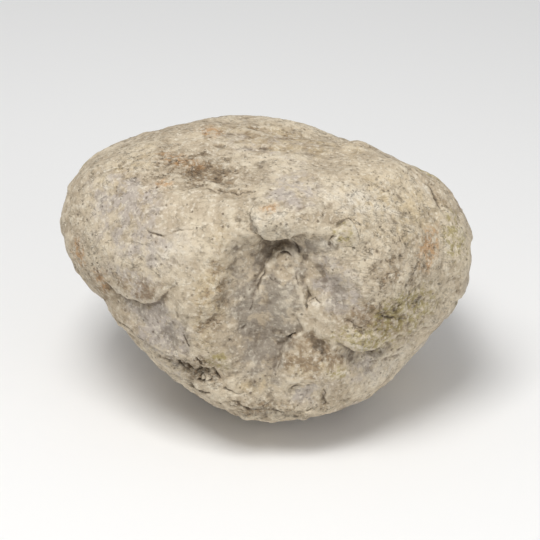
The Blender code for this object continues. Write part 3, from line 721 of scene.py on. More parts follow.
@dataclass
class StoneShape:
    """The shape of the stone: the solid's forms, and then the finer ones on top.

    Lengths are in millimetres, from the heart of the stone, until `placed` turns them.
    """

    width: float = 200.0
    heart_height: float = 66.0
    round_size: tuple[float, float, float] = (118.0, 94.0, 92.0)
    edge_hardness: float = 15.0
    solid_subdivisions: int = 7
    lumps: tuple[tuple[Grain, float], ...] = (
        (Grain(46.0, 11.0), 2.6), (Grain(21.0, 37.0), 1.1), (Grain(9.0, 59.0), 0.4),
    )
    rough_grain: Grain = Grain(7.0, 5.0)
    wander: tuple[float, float] = (14.0, 1.8)
    fine_wanders: tuple[tuple[float, float], ...] = ((5.0, 1.1), (2.0, 0.5))
    fine_lumps: tuple[tuple[Grain, float], ...] = ((Grain(12.0, 263.0), 0.6), (Grain(6.0, 277.0), 0.35))
    broken_grain: Grain = Grain(6.0, 251.0)
    wear_grain: Grain = Grain(14.0, 83.0)
    worn_away: float = -0.9
    worn_nowhere: float = 0.1
    layers_face: tuple[float, float, float] = (0.12, 0.42, 0.90)
    layer_spacing: float = 27.0
    layer_step: float = 3.0
    layer_break: float = 0.10
    layer_bend: float = 16.0
    bend_grain: Grain = Grain(60.0, 71.0)
    break_grain: Grain = Grain(34.0, 97.0)
    break_from: float = -0.05
    break_fully: float = 0.35
    front_from: float = 0.1
    front_fully: float = 0.5
    layers_on_front: float = 0.15
    fitted: float = 1.058
    scale: float = field(init=False, default=1.0)

    def worn_body(self, rays: np.ndarray) -> tuple[np.ndarray, np.ndarray]:
        """Finds the body of worn flats, before any form is laid on it.

        Args:
            rays: Unit rays from the heart.

        Returns:
            The surface point along each ray, and the outward normal there.
        """
        normals = np.array([flat.normal() for flat in FLATS])
        reaches = np.array([flat.reach for flat in FLATS])
        facing = np.maximum(rays @ normals.T, 0.0) / reaches
        round_part = np.linalg.norm(rays / self.round_size, axis=1)
        hardness = self.edge_hardness
        total = (facing**hardness).sum(axis=1) + round_part**hardness
        points = rays * (total ** (-1.0 / hardness))[:, None]
        pull = (facing ** (hardness - 1.0) / reaches) @ normals
        pull += (rays / np.square(self.round_size)) * (round_part ** (hardness - 2.0))[:, None]
        return points, pull / np.linalg.norm(pull, axis=1)[:, None]

    def layer_height(self, points: np.ndarray, normals: np.ndarray) -> np.ndarray:
        """Works out how far the layers of the rock move the surface.

        Args:
            points: Points of the body.
            normals: Its outward normals there.

        Returns:
            The height at each point.
        """
        face = np.array(self.layers_face) / np.linalg.norm(self.layers_face)
        layers = (points @ face + self.layer_bend * self.bend_grain.at(points)) / self.layer_spacing
        share = layers - np.floor(layers)
        step = smooth_step(0.0, self.layer_break, share) * (1.0 - share) - 0.5
        broken = smooth_step(self.break_from, self.break_fully, self.break_grain.at(points))
        broken *= 1.0 - (normals @ face) ** 2
        on_front = smooth_step(self.front_from, self.front_fully, normals @ Side.FRONT.axes()[2])
        return self.layer_step * step * broken * (1.0 - (1.0 - self.layers_on_front) * on_front)

    def surface(self, rays: np.ndarray, fine: bool = True) -> StoneSurface:
        """Works out the stone's surface.

        Args:
            rays: Unit rays from the heart.
            fine: Whether the forms that the solid leaves out are laid on too.

        Returns:
            The surface, from the heart and at its full size.
        """
        points, normals = self.worn_body(rays)
        jagged = np.zeros(points.shape)
        if fine:
            for size, reach in self.fine_wanders:
                jagged += self.wandering(points, size) * reach
        size, reach = self.wander
        moves = jagged + self.wandering(points, size) * reach
        views = {side: SideView(side, points * self.fitted + moves, normals) for side in Side}
        swells = sum(swell.height * views[swell.side].cover(swell) for swell in SWELLS)
        swollen = (points + normals * swells[:, None]) * self.fitted + moves
        views = {side: SideView(side, swollen, normals) for side in Side}
        worn = smooth_step(self.worn_away, self.worn_nowhere, self.wear_grain.at(points))
        routes = sum(form.height(views[form.side]) for form in LEDGES + CREASES) * worn
        height = routes + swells + self.layer_height(points, normals)
        height += sum(reach * grain.at(points) for grain, reach in self.lumps)
        roughness = sum(rough.height * views[rough.side].cover(rough) for rough in ROUGHS)
        height += roughness * self.rough_grain.at(points)
        moved = points + normals * height[:, None]
        broken = np.ones(len(points))
        if fine:
            # Cracks and marks are placed on the finished form, and don't wander with its parts.
            finished = moved * self.scale + jagged
            seen = {side: SideView(side, finished, normals) for side in Side}
            broken = 0.45 + 0.55 * smooth_step(-0.40, 0.10, self.broken_grain.at(points))
            thin = sum(form.height(seen[form.side]) for form in THIN_CRACKS + CHIPS)
            thin = thin * broken + sum(reach * grain.at(points) for grain, reach in self.fine_lumps)
            moved += normals * thin[:, None]
            for overhang in OVERHANGS:
                up = overhang.side.axes()[1]
                moved -= up * (overhang.shift(views[overhang.side]) * broken)[:, None]
            views = seen
        return StoneSurface(moved * self.scale, normals, views, broken)

    def wandering(self, points: np.ndarray, size: float) -> np.ndarray:
        """Returns smooth random moves of up to about 1, which change over this size."""
        return np.array([noise.noise_vector(Vector(point) / size) for point in points])

    def fit_width(self) -> None:
        """Sets the scale at which the solid's own ball of points is as wide as the stone."""
        ball = bmesh.new()
        bmesh.ops.create_icosphere(ball, subdivisions=self.solid_subdivisions, radius=1.0)
        rays = np.array([vert.co.normalized() for vert in ball.verts])
        ball.free()
        across = self.surface(rays, fine=False).points[:, 0]
        self.scale = self.width / float(across.max() - across.min())

    def placed(self, points: np.ndarray) -> np.ndarray:
        """Returns the points in metres, in the stone's own frame."""
        return (points + (0.0, 0.0, self.heart_height * self.scale)) * MM


@dataclass(frozen=True)
class PittedSkin:
    """The relief of the skin that repeats all over: flakes, grain and pits.

    It is a tree of geometry nodes that moves the surface along its normals.

    Attributes:
        flake_size: How wide the flakes of the weathered skin are, in millimetres.
        flake_height: How far they stand out.
        flake_steps: How many steps a flake's slope is broken into.
        grain_size: How wide the lumps of mineral grain are.
        grain_height: How far they stand out.
        pit_spacing: How far apart the pits are.
        pit_depth: How deep they are.
        seed: What sets the random values.
    """

    flake_size: float = 15.0
    flake_height: float = 3.0
    flake_steps: float = 6.0
    grain_size: float = 4.5
    grain_height: float = 1.3
    pit_spacing: float = 3.6
    pit_depth: float = 1.1
    seed: float = 4.0

    def tree(self) -> bpy.types.NodeTree:
        """Builds the tree.

        Returns:
            The tree, with its sizes and the finish as named inputs.
        """
        tree = bpy.data.node_groups.new("pitted_skin", "GeometryNodeTree")
        tree.interface.new_socket("Stone", in_out="INPUT", socket_type="NodeSocketGeometry")
        for name in ("Flake size", "Flake height", "Flake steps", "Grain size", "Grain height",
                     "Pit spacing", "Pit depth", "Seed"):
            tree.interface.new_socket(name, in_out="INPUT", socket_type="NodeSocketFloat")
        tree.interface.new_socket("Finish", in_out="INPUT", socket_type="NodeSocketMaterial")
        tree.interface.new_socket("Stone", in_out="OUTPUT", socket_type="NodeSocketGeometry")
        given = add_node(tree, "NodeGroupInput").outputs
        position = add_node(tree, "GeometryNodeInputPosition")
        pitted = add_node(tree, "GeometryNodeInputNamedAttribute", {"Name": Mark.PITTED.value}, data_type="FLOAT")
        polished = add_node(tree, "GeometryNodeInputNamedAttribute", {"Name": Mark.POLISHED.value}, data_type="FLOAT")
        repeats = {
            name: add_node(tree, "ShaderNodeMath", {0: 1.0, 1: given[name]}, operation="DIVIDE")
            for name in ("Flake size", "Grain size", "Pit spacing")
        }
        # Flakes: a soft noise whose slopes are broken into low steps.
        cloud = add_node(tree, "ShaderNodeTexNoise", {
            "Vector": position, "W": given["Seed"], "Scale": repeats["Flake size"],
            "Detail": 3.0, "Roughness": 0.5, "Distortion": 0.4,
        }, noise_dimensions="4D")
        stairs = add_node(tree, "ShaderNodeMath", {0: cloud, 1: given["Flake steps"]}, operation="MULTIPLY")
        landing = add_node(tree, "ShaderNodeMath", {0: stairs}, operation="FRACT")
        floor = add_node(tree, "ShaderNodeMath", {0: stairs, 1: landing}, operation="SUBTRACT")
        riser = add_node(tree, "ShaderNodeMapRange", {
            "Value": landing, "From Min": 0.0, "From Max": 0.45, "To Min": 0.0, "To Max": 1.0,
        }, interpolation_type="SMOOTHSTEP")
        stepped = add_node(tree, "ShaderNodeMath", {0: floor, 1: riser}, operation="ADD")
        level = add_node(tree, "ShaderNodeMath", {0: stepped, 1: given["Flake steps"]}, operation="DIVIDE")
        middle = add_node(tree, "ShaderNodeMath", {0: level, 1: 0.5}, operation="SUBTRACT")
        dullness = add_node(tree, "ShaderNodeMapRange", {
            "Value": polished, "To Min": 1.0, "To Max": 0.35,
        })
        flaked = add_node(tree, "ShaderNodeMath", {0: middle, 1: dullness}, operation="MULTIPLY")
        flakes = add_node(tree, "ShaderNodeMath", {0: flaked, 1: given["Flake height"]}, operation="MULTIPLY")
        # Grain: small round lumps, strongest where the ground is pitted.
        sugar = add_node(tree, "ShaderNodeTexNoise", {
            "Vector": position, "W": given["Seed"], "Scale": repeats["Grain size"],
            "Detail": 4.0, "Roughness": 0.6,
        }, noise_dimensions="4D")
        centred = add_node(tree, "ShaderNodeMath", {0: sugar, 1: 0.5}, operation="SUBTRACT")
        coarse = add_node(tree, "ShaderNodeMapRange", {
            "Value": pitted, "To Min": 0.55, "To Max": 2.2,
        })
        grained = add_node(tree, "ShaderNodeMath", {0: centred, 1: coarse}, operation="MULTIPLY")
        smoothed = add_node(tree, "ShaderNodeMath", {0: grained, 1: dullness}, operation="MULTIPLY")
        grain = add_node(tree, "ShaderNodeMath", {0: smoothed, 1: given["Grain height"]}, operation="MULTIPLY")
        # Pits: uneven in outline, in crowds on the pitted ground and single elsewhere.
        wobble = add_node(tree, "ShaderNodeTexNoise", {
            "Vector": position, "Scale": repeats["Pit spacing"], "Detail": 2.0,
        })
        uneven = add_node(tree, "ShaderNodeVectorMath", {
            0: wobble.outputs["Color"], 1: (3.0 * MM, 3.0 * MM, 3.0 * MM), 2: position,
        }, operation="MULTIPLY_ADD")
        cells = add_node(tree, "ShaderNodeTexVoronoi", {
            "Vector": uneven, "W": given["Seed"], "Scale": repeats["Pit spacing"],
        }, voronoi_dimensions="4D", feature="F1")
        bowl = add_node(tree, "ShaderNodeMapRange", {
            "Value": cells, "From Min": 0.06, "From Max": 0.40, "To Min": 1.0, "To Max": 0.0,
        }, interpolation_type="SMOOTHSTEP")
        crowd = add_node(tree, "ShaderNodeMath", {0: pitted, 1: 0.40, 2: 0.03}, operation="MULTIPLY_ADD")
        picked = add_node(tree, "FunctionNodeSeparateColor", {"Color": cells.outputs["Color"]})
        opened = add_node(tree, "ShaderNodeMath", {0: crowd, 1: picked}, operation="SUBTRACT")
        chosen = add_node(tree, "ShaderNodeMapRange", {
            "Value": opened, "From Min": 0.0, "From Max": 0.15,
        }, interpolation_type="SMOOTHSTEP")
        pits = add_node(tree, "ShaderNodeMath", {0: bowl, 1: chosen}, operation="MULTIPLY")
        sunk = add_node(tree, "ShaderNodeMath", {0: pits, 1: given["Pit depth"]}, operation="MULTIPLY")

        relief = add_node(tree, "ShaderNodeMath", {0: flakes, 1: grain}, operation="ADD")
        relief = add_node(tree, "ShaderNodeMath", {0: relief, 1: sunk}, operation="SUBTRACT")
        outward = add_node(tree, "GeometryNodeInputNormal")
        offset = add_node(tree, "ShaderNodeVectorMath", {0: outward, "Scale": relief}, operation="SCALE")
        marked = add_node(tree, "GeometryNodeStoreNamedAttribute", {
            "Geometry": given["Stone"], "Name": Mark.PIT.value, "Value": pits,
        }, data_type="FLOAT", domain="POINT")
        moved = add_node(tree, "GeometryNodeSetPosition", {"Geometry": marked, "Offset": offset})
        real = add_node(tree, "GeometryNodeRealizeInstances", {"Geometry": moved})
        dressed = add_node(tree, "GeometryNodeSetMaterial", {"Geometry": real, "Material": given["Finish"]})
        add_node(tree, "NodeGroupOutput", {0: dressed})
        return tree

    def lay_on(self, piece: bpy.types.Object, finish: bpy.types.Material) -> None:
        """Lays the skin on a piece and leaves it a plain mesh.

        Args:
            piece: The object, with its pitted and polished marks in place.
            finish: The material that it ends up with.
        """
        tree = self.tree()
        modifier = piece.modifiers.new("pitted skin", "NODES")
        modifier.node_group = tree
        sizes = {
            "Flake size": self.flake_size * MM, "Flake height": self.flake_height * MM,
            "Flake steps": self.flake_steps, "Grain size": self.grain_size * MM,
            "Grain height": self.grain_height * MM, "Pit spacing": self.pit_spacing * MM,
            "Pit depth": self.pit_depth * MM, "Seed": self.seed, "Finish": finish,
        }
        for socket in tree.interface.items_tree:
            if socket.in_out == "INPUT" and socket.name in sizes:
                modifier[socket.identifier] = sizes[socket.name]
        graph = bpy.context.evaluated_depsgraph_get()
        plain = bpy.data.meshes.new_from_object(piece.evaluated_get(graph))
        piece.modifiers.remove(modifier)
        piece.data = plain


@dataclass(frozen=True)
class Tint:
    """A colour that lies over the stone where a mark is.

    Attributes:
        mark: The mark that it follows.
        colour: The colour as sRGB hex.
        share: How far it covers what is below, at most.
        size: The size of the mottling that breaks its edge, in millimetres.
        contrast: How strongly the mottling breaks it.
    """

    mark: Mark
    colour: str
    share: float
    size: float
    contrast: float


@dataclass(frozen=True)
class FineRelief:
    """The finest relief of the skin, as sockets of the material's tree.

    Attributes:
        height: How far the flakes stand out, in millimetres.
        edge: A quarter at most, on the flakes' broken edges.
        seam: 1 in the middle of the thin dark seams.
        pore: 1 in the middle of the small dark pores.
    """

    height: bpy.types.NodeSocket
    edge: bpy.types.NodeSocket
    seam: bpy.types.NodeSocket
    pore: bpy.types.NodeSocket


@dataclass(frozen=True)
class WeatheredQuartzite:
    """Weathered quartzite, tumbled in a river: a dull skin of fine sugary grain.

    To the eye it is matt and pale, with a salt-and-pepper grain, greyer and a little
    smoother where it is fresh, warmer and pitted where it has weathered, and dark with
    soil in its cracks.
    """

    light: str = "#D6C7AD"
    dark: str = "#B1A087"
    bright_grain: str = "#E9DFCB"
    dark_grain: str = "#6E5E48"
    # The crack colour also paints shade under the lip, and the soil colour paints shade in the broad nooks.
    crack_and_shade_colour: str = "#4A3D2E"
    soil_and_shade_colour: str = "#5E4F3D"
    worn_colour: str = "#DDD1BA"
    tints: tuple[Tint, ...] = (
        Tint(Mark.BEIGE, "#C6B18A", 0.60, 9.0, 1.1),
        Tint(Mark.LAVENDER, "#B4AAA2", 0.70, 7.0, 1.6),
        # This tint also paints shade under the brow and the shelf.
        Tint(Mark.SLATE_AND_SHADE, "#897F73", 0.80, 8.0, 1.2),
        # This tint also paints highlight on two lips.
        Tint(Mark.PALE_AND_HIGHLIGHT, "#E3D9C7", 0.75, 5.0, 1.2),
        # This tint also paints some shade over the top.
        Tint(Mark.BROWN, "#866D4E", 0.75, 5.0, 1.3),
        Tint(Mark.RUST, "#B98852", 0.62, 3.0, 1.6),
        Tint(Mark.MOSS, "#9A8B4C", 0.70, 3.0, 1.7),
    )
    ior: float = 1.54
    bedding: tuple[float, float, float] = (-0.44, 0.12, 0.0)
    flake_steps: float = 6.0
    flake_height: float = 1.8

    def material(self) -> bpy.types.Material:
        """Builds the material.

        Returns:
            The material, which reads the stone's marks and Object coordinates.
        """
        material = bpy.data.materials.new("weathered_quartzite")
        material.use_nodes = True
        tree = material.node_tree
        shader = tree.nodes["Principled BSDF"]
        place = add_node(tree, "ShaderNodeTexCoord").outputs["Object"]
        marks = {mark: add_node(tree, "ShaderNodeAttribute", attribute_name=mark.value).outputs["Fac"]
                 for mark in Mark}
        colour = self._mottled(tree, place)
        for tint in self.tints:
            colour = self._tinted(tree, place, colour, tint, marks[tint.mark])
        relief = self._relief(tree, place, marks)
        colour = self._grained(tree, place, colour, marks)
        colour = self._soiled_and_shaded(tree, place, colour, marks, relief)
        tree.links.new(colour, shader.inputs["Base Color"])
        tree.links.new(self._roughness(tree, place, marks), shader.inputs["Roughness"])
        tree.links.new(self._bump(tree, place, marks, relief), shader.inputs["Normal"])
        shader.inputs["IOR"].default_value = self.ior
        material.diffuse_color = linear_colour(self.light)
        return material

    def _relief(
        self, tree: bpy.types.NodeTree, place: bpy.types.NodeSocket,
        marks: dict[Mark, bpy.types.NodeSocket],
    ) -> FineRelief:
        """Builds the flakes that the skin breaks into along its layers, and its dark seams.

        Args:
            tree: The material's tree.
            place: Object coordinates.
            marks: The stone's marks.

        Returns:
            The flakes' height, their broken edges and the seams.
        """
        bedded = add_node(tree, "ShaderNodeMapping", {
            "Vector": place, "Rotation": self.bedding, "Scale": (1.0, 1.0, 0.5),
        }, vector_type="TEXTURE")
        cloud = add_node(tree, "ShaderNodeTexNoise", {
            "Vector": bedded, "Scale": 1.0 / (9.0 * MM), "Detail": 4.0, "Roughness": 0.55, "Distortion": 0.5,
        })
        stairs = add_node(tree, "ShaderNodeMath", {0: cloud, 1: self.flake_steps}, operation="MULTIPLY")
        landing = add_node(tree, "ShaderNodeMath", {0: stairs}, operation="FRACT")
        floor = add_node(tree, "ShaderNodeMath", {0: stairs, 1: landing}, operation="SUBTRACT")
        riser = add_node(tree, "ShaderNodeMapRange", {
            "Value": landing, "From Max": 0.30,
        }, interpolation_type="SMOOTHSTEP")
        stepped = add_node(tree, "ShaderNodeMath", {0: floor, 1: riser}, operation="ADD")
        height = add_node(tree, "ShaderNodeMath", {
            0: stepped, 1: self.flake_height / self.flake_steps,
        }, operation="MULTIPLY")
        not_up = add_node(tree, "ShaderNodeMath", {0: 1.0, 1: riser}, operation="SUBTRACT")
        whole_edge = add_node(tree, "ShaderNodeMath", {0: riser, 1: not_up}, operation="MULTIPLY")
        # Edges and seams show in patches only, and least of all on the smooth ground.
        patches = add_node(tree, "ShaderNodeTexNoise", {
            "Vector": place, "Scale": 1.0 / (5.0 * MM), "Detail": 3.0,
        })
        some = add_node(tree, "ShaderNodeMapRange", {
            "Value": patches, "From Min": 0.48, "From Max": 0.62,
        }, interpolation_type="SMOOTHSTEP")
        rugged = add_node(tree, "ShaderNodeMapRange", {
            "Value": marks[Mark.PITTED], "To Min": 0.35, "To Max": 1.0,
        })
        here = add_node(tree, "ShaderNodeMath", {0: some, 1: rugged}, operation="MULTIPLY")
        edge = add_node(tree, "ShaderNodeMath", {0: whole_edge, 1: here}, operation="MULTIPLY")
        # Seams: where a second noise crosses its middle.
        seams = add_node(tree, "ShaderNodeTexNoise", {
            "Vector": bedded, "Scale": 1.0 / (6.0 * MM), "Detail": 4.0, "Roughness": 0.6, "Distortion": 0.8,
        })
        off_middle = add_node(tree, "ShaderNodeMath", {0: seams, 1: 0.5}, operation="SUBTRACT")
        distance = add_node(tree, "ShaderNodeMath", {0: off_middle}, operation="ABSOLUTE")
        line = add_node(tree, "ShaderNodeMapRange", {
            "Value": distance, "From Max": 0.026, "To Min": 1.0, "To Max": 0.0,
        }, interpolation_type="SMOOTHSTEP")
        seam = add_node(tree, "ShaderNodeMath", {0: line, 1: here}, operation="MULTIPLY")
        # Pores: dark points, closer together on the pitted ground.
        cells = add_node(tree, "ShaderNodeTexVoronoi", {"Vector": place, "Scale": 1.0 / (2.4 * MM)})
        point = add_node(tree, "ShaderNodeMapRange", {
            "Value": cells, "From Min": 0.12, "From Max": 0.36, "To Min": 1.0, "To Max": 0.0,
        }, interpolation_type="SMOOTHSTEP")
        picked = add_node(tree, "ShaderNodeSeparateColor", {"Color": cells.outputs["Color"]})
        crowd = add_node(tree, "ShaderNodeMath", {
            0: marks[Mark.PITTED], 1: 0.20, 2: 0.14,
        }, operation="MULTIPLY_ADD")
        chosen = add_node(tree, "ShaderNodeMath", {0: picked, 1: crowd}, operation="LESS_THAN")
        pore = add_node(tree, "ShaderNodeMath", {0: point, 1: chosen}, operation="MULTIPLY")
        return FineRelief(height.outputs[0], edge.outputs[0], seam.outputs[0], pore.outputs[0])

    def _mottled(self, tree: bpy.types.NodeTree, place: bpy.types.NodeSocket) -> bpy.types.NodeSocket:
        """Builds the ground colour: light and dark clouds 28 mm and 8 mm wide.

        Args:
            tree: The material's tree.
            place: Object coordinates.

        Returns:
            The colour.
        """
        broad = add_node(tree, "ShaderNodeTexNoise", {
            "Vector": place, "Scale": 1.0 / (28.0 * MM), "Detail": 3.0, "Roughness": 0.55, "Distortion": 0.3,
        })
        small = add_node(tree, "ShaderNodeTexNoise", {
            "Vector": place, "Scale": 1.0 / (8.0 * MM), "Detail": 4.0, "Roughness": 0.6,
        })
        both = add_node(tree, "ShaderNodeMath", {0: broad, 1: small}, operation="ADD")
        share = add_node(tree, "ShaderNodeMapRange", {
            "Value": both, "From Min": 0.72, "From Max": 1.28,
        }, interpolation_type="SMOOTHSTEP")
        mixed = add_node(tree, "ShaderNodeMix", {
            0: share, 6: linear_colour(self.dark), 7: linear_colour(self.light),
        }, data_type="RGBA")
        return mixed.outputs[2]

    def _tinted(
        self, tree: bpy.types.NodeTree, place: bpy.types.NodeSocket, below: bpy.types.NodeSocket,
        tint: Tint, mark: bpy.types.NodeSocket,
    ) -> bpy.types.NodeSocket:
        """Lays one tint over the colour below it, with a mottled edge.

        Args:
            tree: The material's tree.
            place: Object coordinates.
            below: The colour that it lies on.
            tint: The tint.
            mark: The mark that it follows.

        Returns:
            The colour.
        """
        cloud = add_node(tree, "ShaderNodeTexNoise", {
            "Vector": place, "Scale": 1.0 / (tint.size * MM), "Detail": 4.0, "Roughness": 0.65,
        })
        breaking = add_node(tree, "ShaderNodeMapRange", {
            "Value": cloud, "From Min": 0.3, "From Max": 0.7,
            "To Min": 1.0 - tint.contrast, "To Max": 1.0 + tint.contrast,
        }, clamp=False)
        broken = add_node(tree, "ShaderNodeMath", {0: mark, 1: breaking}, operation="MULTIPLY")
        share = add_node(tree, "ShaderNodeMapRange", {
            "Value": broken, "From Min": 0.08, "From Max": 0.85, "To Max": tint.share,
        }, interpolation_type="SMOOTHSTEP")
        mixed = add_node(tree, "ShaderNodeMix", {
            0: share, 6: below, 7: linear_colour(tint.colour),
        }, data_type="RGBA")
        return mixed.outputs[2]

    def _grained(
        self, tree: bpy.types.NodeTree, place: bpy.types.NodeSocket, below: bpy.types.NodeSocket,
        marks: dict[Mark, bpy.types.NodeSocket],
    ) -> bpy.types.NodeSocket:
        """Lays on the salt-and-pepper grain.

        Real quartz grains are 0.3 to 1 mm; they are drawn 1 to 1.6 mm wide so that they show.

        Args:
            tree: The material's tree.
            place: Object coordinates.
            below: The colour that it lies on.
            marks: The stone's marks.

        Returns:
            The colour.
        """
        dullness = add_node(tree, "ShaderNodeMapRange", {
            "Value": marks[Mark.SLATE_AND_SHADE], "To Min": 0.95, "To Max": 0.55,
        })
        colour = below
        for size, low, high, tone, most in (
            (2.0, 0.50, 0.74, self.dark_grain, 0.55),
            (1.7, 0.50, 0.76, self.bright_grain, 0.55),
            (4.2, 0.52, 0.70, self.dark_grain, 0.34),
            (3.4, 0.52, 0.70, self.bright_grain, 0.30),
        ):
            specks = add_node(tree, "ShaderNodeTexNoise", {
                "Vector": place, "Scale": 1.0 / (size * MM), "Detail": 2.0, "Roughness": 0.6,
            })
            share = add_node(tree, "ShaderNodeMapRange", {
                "Value": specks, "From Min": low, "From Max": high, "To Max": most,
            }, interpolation_type="SMOOTHSTEP")
            dulled = add_node(tree, "ShaderNodeMath", {0: share, 1: dullness}, operation="MULTIPLY")
            colour = add_node(tree, "ShaderNodeMix", {
                0: dulled, 6: colour, 7: linear_colour(tone),
            }, data_type="RGBA").outputs[2]
        return colour

    def _soiled_and_shaded(
        self, tree: bpy.types.NodeTree, place: bpy.types.NodeSocket, below: bpy.types.NodeSocket,
        marks: dict[Mark, bpy.types.NodeSocket], relief: FineRelief,
    ) -> bpy.types.NodeSocket:
        """Darkens hollows, pits and cracks with soil, paints shade into the broad nooks and under the lip, and
        lightens the worn ridges.

        Args:
            tree: The material's tree.
            place: Object coordinates.
            below: The colour that it lies on.
            marks: The stone's marks.
            relief: The finest relief.

        Returns:
            The colour.
        """
        cloud = add_node(tree, "ShaderNodeTexNoise", {
            "Vector": place, "Scale": 1.0 / (2.6 * MM), "Detail": 4.0, "Roughness": 0.7,
        })
        colour = below
        breaking = add_node(tree, "ShaderNodeMapRange", {
            "Value": cloud, "From Min": 0.3, "From Max": 0.7, "To Min": 0.45, "To Max": 1.4,
        })
        for where, tone, low, high, most in (
            (marks[Mark.RIDGE], self.worn_colour, 0.15, 0.9, 0.40),
            (relief.edge, self.soil_and_shade_colour, 0.05, 0.32, 0.42),
            # Painted shade in the broad nooks.
            (marks[Mark.NOOK_SHADE], self.soil_and_shade_colour, 0.15, 1.0, 0.45),
            (marks[Mark.HOLLOW], self.soil_and_shade_colour, 0.15, 0.9, 0.55),
            (marks[Mark.PIT], self.soil_and_shade_colour, 0.15, 1.1, 0.50),
            (relief.pore, self.soil_and_shade_colour, 0.10, 1.0, 0.60),
            (relief.seam, self.crack_and_shade_colour, 0.10, 1.0, 0.65),
            # Soil, and painted shade under the lip.
            (marks[Mark.SOIL_AND_SHADE], self.crack_and_shade_colour, 0.25, 0.9, 0.75),
            (marks[Mark.CRACK], self.crack_and_shade_colour, 0.10, 0.9, 0.75),
        ):
            broken = add_node(tree, "ShaderNodeMath", {0: where, 1: breaking}, operation="MULTIPLY")
            share = add_node(tree, "ShaderNodeMapRange", {
                "Value": broken, "From Min": low, "From Max": high, "To Max": most,
            }, interpolation_type="SMOOTHSTEP")
            colour = add_node(tree, "ShaderNodeMix", {
                0: share, 6: colour, 7: linear_colour(tone),
            }, data_type="RGBA").outputs[2]
        return colour

    def _roughness(
        self, tree: bpy.types.NodeTree, place: bpy.types.NodeSocket,
        marks: dict[Mark, bpy.types.NodeSocket],
    ) -> bpy.types.NodeSocket:
        """Builds the roughness: dull, and a little smoother where the stone is polished.

        Args:
            tree: The material's tree.
            place: Object coordinates.
            marks: The stone's marks.

        Returns:
            The roughness.
        """
        cloud = add_node(tree, "ShaderNodeTexNoise", {
            "Vector": place, "Scale": 1.0 / (5.0 * MM), "Detail": 3.0, "Roughness": 0.6,
        })
        dull = add_node(tree, "ShaderNodeMapRange", {
            "Value": cloud, "From Min": 0.3, "From Max": 0.7, "To Min": 0.70, "To Max": 0.88,
        })
        return add_node(tree, "ShaderNodeMath", {
            0: marks[Mark.POLISHED], 1: -0.14, 2: dull,
        }, operation="MULTIPLY_ADD").outputs[0]

    def _bump(
        self, tree: bpy.types.NodeTree, place: bpy.types.NodeSocket,
        marks: dict[Mark, bpy.types.NodeSocket], relief: FineRelief,
    ) -> bpy.types.NodeSocket:
        """Builds the relief that is finer than the mesh, summed in millimetres.

        Args:
            tree: The material's tree.
            place: Object coordinates.
            marks: The stone's marks.
            relief: The finest relief.

        Returns:
            The bumped normal.
        """
        coarse = add_node(tree, "ShaderNodeMapRange", {
            "Value": marks[Mark.PITTED], "To Min": 0.55, "To Max": 1.5,
        })
        dullness = add_node(tree, "ShaderNodeMapRange", {
            "Value": marks[Mark.POLISHED], "To Min": 1.0, "To Max": 0.55,
        })
        total = relief.height
        for size, height, detail in ((3.2, 0.90, 4.0), (1.4, 0.50, 3.0), (0.7, 0.15, 2.0)):
            cloud = add_node(tree, "ShaderNodeTexNoise", {
                "Vector": place, "Scale": 1.0 / (size * MM), "Detail": detail, "Roughness": 0.6,
            })
            total = add_node(tree, "ShaderNodeMath", {0: cloud, 1: height, 2: total}, operation="MULTIPLY_ADD")
        lumpy = add_node(tree, "ShaderNodeMath", {0: total, 1: coarse}, operation="MULTIPLY")
        lumpy = add_node(tree, "ShaderNodeMath", {0: lumpy, 1: dullness}, operation="MULTIPLY")
        height = add_node(tree, "ShaderNodeMath", {0: relief.seam, 1: -0.45, 2: lumpy}, operation="MULTIPLY_ADD")
        height = add_node(tree, "ShaderNodeMath", {0: relief.pore, 1: -0.30, 2: height}, operation="MULTIPLY_ADD")
        return add_node(tree, "ShaderNodeBump", {
            "Height": height, "Strength": 1.0, "Distance": MM,
        }).outputs[0]


